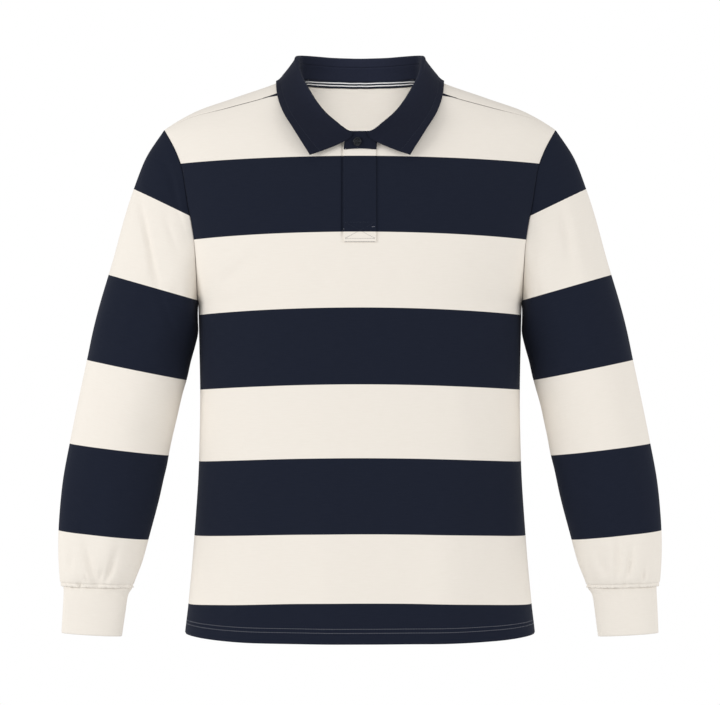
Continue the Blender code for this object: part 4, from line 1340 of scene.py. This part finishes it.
def neck_tape():
    """The tape lies on the inside of the back, along its neck edge. Its lower rows are a little wider."""
    arcs = np.linspace(TAPE_END, CENTRE_BACK, 40)
    x, turn = along(NECK, "across", arcs), along(NECK, "turn", arcs)
    rises = np.linspace(1 - TAPE_HEIGHT_SHARE, 1 + TAPE_OVERLAP_SHARE, 10)[:, None]
    wider = 1 + 0.045 * (1 - rises) / TAPE_HEIGHT_SHARE
    half = over_shoulder(x * wider, 180 - (180 - turn) * rises)[:, ::-1]
    strip = np.concatenate([mirrored(half, -1.0)[:, :0:-1], half], axis=1)
    normals = body_normals(strip)
    inside = strip - normals * (JERSEY + SEAM_GAP + TAPE)
    return cloth("neck_tape_woven", "neck_tape", inside, -normals, TAPE * 0.9, "tape_striped")[0]


FINISHES["tape_striped"] = tape_material()
neck_tape_cloth = neck_tape()

# %% [markdown]
# ## Button
#
# A turned button is a profile carried round an axis. On a grid of radius and angle, the height is the rim's
# curve, with four wells pressed in where the holes go through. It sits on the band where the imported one
# does, and two bars of thread cross it, each a tube along an arc from hole to hole.

# %% Button
WELL_DEPTH = 1.9
FACE_HEIGHT = 1.75
# Heights of the two rows that close the button's side, from the face's edge down to the back.
SIDE_HEIGHTS = (0.9, 0.15)


def button_place():
    """The middle of the button's back, on the band's face, and the directions across it, up and out."""
    ring = BUTTON_ACROSS + np.array([[-6.0, 0.0, 6.0]]) * np.ones((2, 1))
    face, _ = band_surface(ring, np.array([0.0, 1.0])[:, None, None])
    up_share = (BUTTON_HEIGHT - face[0, 1, 2]) / (face[1, 1, 2] - face[0, 1, 2])
    out = unit(np.cross(face[0, 2] - face[0, 0], face[1, 1] - face[0, 1]))
    across = unit(face[0, 2] - face[0, 0])
    centre = face[0, 1] + (face[1, 1] - face[0, 1]) * up_share + out * (SEAM_GAP + 0.5)
    return centre, across, np.cross(out, across), out


def button_height(radius, turn):
    """A dished face inside a round rim, with wells of the four holes."""
    share_out = radius / (BUTTON_DIAMETER / 2)
    rim = 0.95 * ease((share_out - 0.56) / 0.16) - 1.2 * ease((share_out - 0.82) / 0.18) ** 2
    x, y = radius * np.cos(turn), radius * np.sin(turn)
    hole = np.hypot(np.abs(x) - BUTTON_HOLE_PITCH / 2, np.abs(y) - BUTTON_HOLE_PITCH / 2)
    wells = WELL_DEPTH * ease((BUTTON_HOLE / 2 + 0.12 - hole) / 0.24)
    return FACE_HEIGHT + rim - wells


def glossy_navy():
    """Moulded plastic: a smooth coat over navy, with a trace of swirl."""
    material, shader, add, links = node_kit("button_navy", 0.14, 0.0, (1.0, 1.0, 1.0))
    shader.inputs["Specular IOR Level"].default_value = 0.34
    shader.inputs["Coat Weight"].default_value = 0.2
    shader.inputs["Coat Roughness"].default_value = 0.08
    place = add("ShaderNodeTexCoord").outputs["Object"]
    swirl = noise(add, place, 420.0, 3.0, Distortion=1.5)
    links.new(mixed(add, swirl, (0.003, 0.004, 0.007), (0.006, 0.008, 0.014)), shader.inputs["Base Color"])
    return material


def make_button():
    """The turned grid goes from the face's middle out, down the side, and in again over the flat back."""
    centre, across, up, out = button_place()
    radius = np.concatenate([np.linspace(0.02, 1, 56) * BUTTON_DIAMETER / 2, [BUTTON_DIAMETER / 2] * 2])
    radius, turn = np.meshgrid(radius, np.linspace(0, 2 * np.pi, 97)[:-1], indexing="ij")
    height = button_height(radius, turn)
    height[-2], height[-1] = SIDE_HEIGHTS
    inwards = np.linspace(0.9, 0.02, 6) * BUTTON_DIAMETER / 2
    back_radius, back_turn = np.meshgrid(inwards, turn[0], indexing="ij")
    radius = np.concatenate([radius, back_radius])
    turn = np.concatenate([turn, back_turn])
    height = np.concatenate([height, np.zeros_like(back_radius)])
    points = centre + (radius * np.cos(turn))[..., None] * across + (radius * np.sin(turn))[..., None] * up
    points = points + height[..., None] * out
    rows, columns = radius.shape
    quads = grid_quads(rows, columns, closed=True).reshape(-1, 4)
    first, last = points[0].mean(axis=0), points[-1].mean(axis=0)
    points = np.concatenate([points.reshape(-1, 3), [first, last]])
    ring = np.arange(columns)
    step = np.roll(ring, -1)
    count = rows * columns
    front_fan = np.stack([np.full(columns, count), step, ring], -1)
    back_fan = np.stack([np.full(columns, count + 1), ring + count - columns, step + count - columns], -1)
    obj = button_mesh("button_four_hole", points, quads, np.concatenate([front_fan, back_fan]))
    obj.data.materials.append(glossy_navy())
    finish_piece(obj, "button")
    print("button:", len(obj.data.polygons), "faces")


def button_mesh(name, points, quads, fans):
    """Quads for the turned faces and triangles for the fans that close both poles."""
    mesh = bpy.data.meshes.new(name)
    mesh.from_pydata((points * MM).tolist(), [], quads[:, ::-1].tolist() + fans.tolist())
    mesh.shade_smooth()
    obj = in_scene(name, mesh)
    turn_outward(obj)
    return obj


def turn_outward(obj):
    """Makes every face point out of a closed shape."""
    solid = bmesh.new()
    solid.from_mesh(obj.data)
    bmesh.ops.recalc_face_normals(solid, faces=solid.faces)
    solid.to_mesh(obj.data)
    solid.free()


make_button()

# %% [markdown]
# ## Sewing
#
# A stitch seen close is a short fat bead of thread that dives into the cloth at both ends. One bead is five
# small four-sided rings along its length, and a seam is hundreds of beads set along a line on the surface.
# The line is measured first, so that every stitch has one length whatever the spacing of the line's points.

# %% Sewing
BEAD_STATIONS = np.array([-1.0, -0.72, 0.0, 0.72, 1.0])
BEAD_FULLNESS = np.array([0.35, 0.85, 1.0, 0.85, 0.35])
THREAD_LIFT = 0.12


def thread_material(name, colour, light):
    """Polyester thread: a mild shine, and a colour that varies with fine noise."""
    material, shader, add, links = node_kit(name, 0.55, 0.1, (0.9, 0.9, 0.9))
    place = add("ShaderNodeTexCoord").outputs["Object"]
    links.new(mixed(add, noise(add, place, 1400.0, 2.0), colour, light), shader.inputs["Base Color"])
    return material


navy_thread = thread_material("navy_thread", (0.010, 0.013, 0.024), (0.026, 0.032, 0.055))
grey_thread = thread_material("grey_thread", (0.22, 0.23, 0.27), (0.40, 0.41, 0.45))
# Dark brown thread that paints the shade down in the shoulder seams.
seam_shade_thread = thread_material("shoulder_painted_shade_thread", (0.055, 0.045, 0.04), (0.11, 0.09, 0.075))


def resampled(path, normals, pitch):
    """Middles, directions and normals of stitches one pitch apart along a line."""
    run = np.linalg.norm(np.diff(path, axis=0), axis=1)
    at = np.concatenate([[0.0], np.cumsum(run)])
    count = max(int(at[-1] / pitch), 1)
    middles = (np.arange(count) + 0.5) * at[-1] / count

    def sample(values, places):
        return np.stack([np.interp(places, at, values[:, k]) for k in range(3)], -1)

    ahead = sample(path, np.minimum(middles + 0.5, at[-1])) - sample(path, np.maximum(middles - 0.5, 0.0))
    return sample(path, middles), unit(ahead), unit(sample(normals, middles))


def beads(middle, along_it, normal, long, wide, high):
    """Points and quads of one bead of thread at each place."""
    side = unit(np.cross(along_it, normal))
    corner = np.array([[1, 0], [0, 1], [-1, 0], [0, -1]], float)
    t = BEAD_STATIONS[None, :, None, None]
    full = BEAD_FULLNESS[None, :, None, None]
    sink = high * (0.75 * t**2)
    sideways, upward = corner[None, None, :, 0, None], corner[None, None, :, 1, None]
    ring = sideways * wide / 2 * full * side[:, None, None]
    ring = ring + (upward * high / 2 * full + THREAD_LIFT - sink) * normal[:, None, None]
    points = middle[:, None, None] + t * long / 2 * along_it[:, None, None] + ring
    count, stations, corners = points.shape[:3]
    quads = grid_quads(stations, corners, closed=True).reshape(-1, 4)
    last = (stations - 1) * corners
    quads = np.concatenate([quads[:, ::-1], [[0, 1, 2, 3], [last + 3, last + 2, last + 1, last]]])
    quads = (quads[None] + (np.arange(count) * stations * corners)[:, None, None]).reshape(-1, 4)
    return points.reshape(-1, 3), quads


def sew(name, lines, material, pitch=2.6, long=2.1, wide=0.55, high=0.45):
    """One object of all the stitches along some lines, each a pair of points and outward directions."""
    points, quads, count = [], [], 0
    for path, normals in lines:
        found, faces = beads(*resampled(path, normals, pitch), long, wide, high)
        points.append(found)
        quads.append(faces + count)
        count += len(found)
    obj = new_mesh_object(name, np.concatenate(points), np.concatenate(quads))
    obj.data.materials.append(material)
    finish_piece(obj, None)
    print(name, count // (4 * len(BEAD_STATIONS)), "stitches")


# %% [markdown]
# ### Hem
#
# A knit hem is turned up and sewn with two needles at once, which leaves two rows 5 mm apart. Here the
# thread is light grey on the navy hoop, so the rows show as fine dashes right round the shirt.

# %% Hem
HEM_ROWS = (14.6, 19.8)


def level_line(side, above_hem):
    """A line round one panel at a height above its hem, which rises a little towards the side seams."""
    turn = np.linspace(-89.0, 89.0, 260)
    height = BODY["height"][0] + above_hem
    edge = along(BODY, "half_width", height)
    x = edge * np.sign(turn) * np.abs(np.sin(np.radians(turn))) ** (2 / SQUARENESS)
    z = height + hem_rise(x / edge, height)
    y = panel_depth(x, z, side) * (-1 if side == "front" else 1)
    path = np.stack([x, y, z], -1)
    press = crease_heights(x, z, SIDE_CREASES[side])
    normals = body_normals(path)
    return path + normals * press[:, None], normals


hem_lines = [level_line(side, row) for side in ("front", "back") for row in HEM_ROWS]
sew("hem_stitches", hem_lines, grey_thread, pitch=3.4, long=2.3, wide=0.5, high=0.4)

# %% [markdown]
# ### Shoulder seams
#
# From the collar out to the arm, the seam of front and back shows as one thin dark line. It is painted shade:
# a row of dark brown thread beads down in the seam, which sinks out of sight towards the armhole. Right
# beside the collar a narrow navy sheet runs out along it to a point, and paints the collar's shadow there.

# %% Shoulder seams
SHOULDER_LINE = np.linspace(84.0, 224.0, 220)
WEDGE_LINE = np.linspace(90.0, 127.0, 30)
WEDGE_WIDTH = 4.6
# How far a full turn of the arch would carry a point forward here, for its length along the cloth.
SHOULDER_DEPTH = 75.0


def on_shoulder(x, below, side):
    """Points on the shoulder's arches, some way below the seam in front, and their outward directions."""
    seam = along(SHOULDER_SEAM, "turn", x)
    per_degree = np.radians(np.hypot(arch_height(x) * np.cos(np.radians(seam)), SHOULDER_DEPTH))
    points = over_shoulder(x, seam - below / per_degree)
    return mirrored(points, side), mirrored(body_normals(points), side)


def shoulder_shade_line(side):
    """The line of dark thread that paints the seam's shade: it lies in the seam and sinks towards the
    armhole.
    """
    points, normals = on_shoulder(SHOULDER_LINE, 0.0, side)
    sink = 0.25 + 0.55 * ease((SHOULDER_LINE - 165.0) / 50.0)
    return points - normals * sink[:, None], normals


def shoulder_shadow_wedge(side, word):
    """A navy sheet that paints the collar's shadow: from the seam down to a width that runs out to a point.
    """
    x, down = np.meshgrid(WEDGE_LINE, np.linspace(-0.15, 1, 6))
    wide = WEDGE_WIDTH * (1 - ease((x - 100.0) / 27.0)) + 0.35
    points, normals = on_shoulder(x, down * wide, side)
    return cloth(f"shoulder_painted_shadow_{word}", None, points + normals * 0.45, normals, 0.4, "collar_twill",
                 edges=False)


# A row of dark thread in each shoulder seam paints the seam's shade.
shoulder_shade_lines = [shoulder_shade_line(side) for side in SIDES.values()]
sew("shoulder_seam_painted_shade", shoulder_shade_lines, seam_shade_thread, pitch=1.9, long=2.0, wide=0.95,
    high=0.5)
# Navy sheets beside the collar paint the collar's shadow on the shoulders.
shoulder_painted_shadows = [shoulder_shadow_wedge(side, word) for word, side in SIDES.items()]

# %% Placket and collar stitches
BOX_TOP = -175.5
BOX_EDGE = 4.6
BOX_SIDE = 19.4


def on_placket(x0, z0, x1, z1, step=0.5):
    """A straight line on the placket's face, from one place to another across it and up it."""
    share_on = np.arange(0, 1, step / math.hypot(x1 - x0, z1 - z0))
    x, z = x0 + (x1 - x0) * share_on, z0 + (z1 - z0) * share_on
    turn = np.degrees(np.arcsin(np.clip((z - CHEST_HEIGHT) / arch_height(x), 0, 1)))
    y = -panel_depth(x, z, "front") * np.where(z > CHEST_HEIGHT, np.cos(np.radians(turn)), 1.0)
    path = np.stack([x, y, z], -1)
    normals = body_normals(path)
    return path + normals * (SEAM_GAP + PLACKET_THICK), normals


BOX_FOOT = PLACKET_BOTTOM + BOX_EDGE
# The row along the placket's foot is dark navy thread that paints the shadow under the foot's edge.
FOOT_SHADOW_HEIGHT = PLACKET_BOTTOM + 0.5
FOOT_SHADOW_HALF = 20.4
SIDE_ROWS_TOP = -82.0
# Across, height and width of the two small bars of close grey stitches.
BARTACKS = ((17.4, -181.3, 4.4), (-20.2, -184.2, 2.4))
placket_and_foot_shadow_lines = [on_placket(x, BOX_FOOT, x, SIDE_ROWS_TOP) for x in (-BOX_SIDE, BOX_SIDE)]
# A near-continuous row of dark thread along the foot paints the shadow under its edge.
placket_and_foot_shadow_lines.append(on_placket(-FOOT_SHADOW_HALF, FOOT_SHADOW_HEIGHT, FOOT_SHADOW_HALF, FOOT_SHADOW_HEIGHT))
# The box's foot and top, then its two diagonals.
box_ends = ((BOX_FOOT, BOX_FOOT), (BOX_TOP, BOX_TOP), (BOX_FOOT, BOX_TOP))
box_lines = [on_placket(-BOX_SIDE, z0, BOX_SIDE, z1) for z0, z1 in box_ends]
box_lines.append(on_placket(BOX_SIDE, BOX_FOOT, -BOX_SIDE, BOX_TOP))
bartack_lines = [on_placket(x - wide / 2, z + row, x + wide / 2, z - row, step=0.3)
                 for x, z, wide in BARTACKS for row in (-0.5, 0.0, 0.5)]
sew("placket_stitches_and_foot_shadow", placket_and_foot_shadow_lines, navy_thread, pitch=2.1, long=1.9, wide=0.4)
sew("placket_box_stitches", box_lines, navy_thread, pitch=2.1, long=1.9, wide=0.34)
sew("placket_bartacks", bartack_lines, grey_thread, pitch=0.9, long=0.7, wide=0.4)

# The collar's stitches follow one grid row of the leaf's face, the sixth from its free edge.
leaf_line = (leaf_outer[-6], leaf_normals[-6])
sew("collar_stitches", [leaf_line], navy_thread, pitch=2.6, long=2.0)

# %% [markdown]
# ### Button thread and buttonhole
#
# The button is held by two bars of thread, each in two holes, and the slit that it passes through is worked
# round with close stitches. The slit is a little longer than the button is wide, so its ends show at both
# sides.

# %% Button thread and buttonhole
BUTTONHOLE_HALF = 7.6


def from_button(across_by, up_by, out_by):
    """Places measured from the button's middle, across it, up it and out of it."""
    centre, across, up, out = button_place()
    steps = [np.asarray(step, float)[..., None] for step in (across_by, up_by, out_by)]
    points = centre + steps[0] * across + steps[1] * up + steps[2] * out
    return points, np.broadcast_to(out, points.shape)


def thread_bar(across_by):
    """A short arc from one hole to the hole above it, high enough to clear the button's face."""
    up_by = np.linspace(-BUTTON_HOLE_PITCH / 2, BUTTON_HOLE_PITCH / 2, 15)
    rise = 2.15 - 1.6 * (2 * up_by / BUTTON_HOLE_PITCH) ** 4
    return from_button(np.full_like(up_by, across_by), up_by, rise - 0.4)


def buttonhole_row(up_by):
    across_by = np.linspace(-BUTTONHOLE_HALF, BUTTONHOLE_HALF, 40)
    return from_button(across_by, np.full_like(across_by, up_by), np.full_like(across_by, -0.75))


bars = [thread_bar(BUTTON_HOLE_PITCH / 2 * way) for way in (-1, 1)]
sew("button_thread", bars, navy_thread, pitch=1.1, long=1.3, wide=0.85, high=0.7)
slit_rows = [buttonhole_row(up_by) for up_by in (-0.7, 0.7)]
sew("buttonhole_stitches", slit_rows, navy_thread, pitch=0.8, long=0.75, wide=1.0, high=0.5)

# %% [markdown]
# ## Floor and light
#
# The photograph's ground is pure white and its light is soft and nearly even. The world is white to the
# camera and a little dimmer as a light. A broad key light from the left gives the sleeves and the collar
# their shade, a weaker one from the right fills it, and a narrow beam goes in at the neck, to the inside of
# the back. The pale floor lies below the shirt and is clear from beneath, so it hides nothing.

# %% Floor and light
FLOOR_HEIGHT = -1.25
WORLD_LIT = 0.62
PANEL_SIZE = 2.2
KEY_WATTS, FILL_WATTS, BEAM_WATTS = 77.0, 50.0, 260.0
BEAM_DEGREES = 4.0


def pale_floor():
    """A plain pale surface that can't be seen from below."""
    points = np.array([[-2000, -2000], [2000, -2000], [2000, 2000], [-2000, 2000]], float)
    points = np.concatenate([points, np.full((4, 1), FLOOR_HEIGHT / MM)], -1)
    floor = new_mesh_object("floor", points, np.array([[0, 1, 2, 3]]))
    material = bpy.data.materials.new("pale_floor")
    material.use_nodes = True
    tree = material.node_tree
    shader = tree.nodes["Principled BSDF"]
    shader.inputs["Base Color"].default_value = (0.86, 0.86, 0.86, 1.0)
    shader.inputs["Roughness"].default_value = 0.9
    clear = tree.nodes.new("ShaderNodeBsdfTransparent")
    side = tree.nodes.new("ShaderNodeNewGeometry")
    choose = tree.nodes.new("ShaderNodeMixShader")
    tree.links.new(side.outputs["Backfacing"], choose.inputs[0])
    tree.links.new(shader.outputs[0], choose.inputs[1])
    tree.links.new(clear.outputs[0], choose.inputs[2])
    tree.links.new(choose.outputs[0], tree.nodes["Material Output"].inputs["Surface"])
    floor.data.materials.append(material)


def aimed_light(name, kind, place, target, power):
    """A light at a place, turned towards a target, in metres and watts."""
    data = bpy.data.lights.new(name, kind)
    data.energy = power
    light = in_scene(name, data)
    light.location = place
    light.rotation_euler = (Vector(target) - Vector(place)).to_track_quat("-Z", "Y").to_euler()
    return data


def white_world(seen, lit):
    """A white ground for the camera, and a dimmer white as light."""
    world = bpy.data.worlds.new("studio")
    bpy.context.scene.world = world
    world.use_nodes = True
    tree = world.node_tree
    ground = tree.nodes["Background"]
    ground.inputs["Color"].default_value = (1.0, 1.0, 1.0, 1.0)
    path = tree.nodes.new("ShaderNodeLightPath")
    strength = tree.nodes.new("ShaderNodeMapRange")
    strength.inputs["To Min"].default_value = lit
    strength.inputs["To Max"].default_value = seen
    tree.links.new(path.outputs["Is Camera Ray"], strength.inputs["Value"])
    tree.links.new(strength.outputs[0], ground.inputs["Strength"])


pale_floor()
white_world(seen=1.0, lit=WORLD_LIT)
aimed_light("key", "AREA", (-3.4, -2.2, 0.6), (0.0, 0.0, -0.35), KEY_WATTS).size = PANEL_SIZE
aimed_light("fill", "AREA", (3.4, -2.2, 0.2), (0.0, 0.0, -0.4), FILL_WATTS).size = PANEL_SIZE
beam = aimed_light("neck_beam", "SPOT", (0.0, -2.4, 0.75), (0.0, 0.09, -0.005), BEAM_WATTS)
beam.spot_size = math.radians(BEAM_DEGREES)
beam.spot_blend = 0.8
beam.shadow_soft_size = 0.03
bpy.context.scene.view_settings.view_transform = "Standard"
bpy.context.scene.view_settings.look = "None"
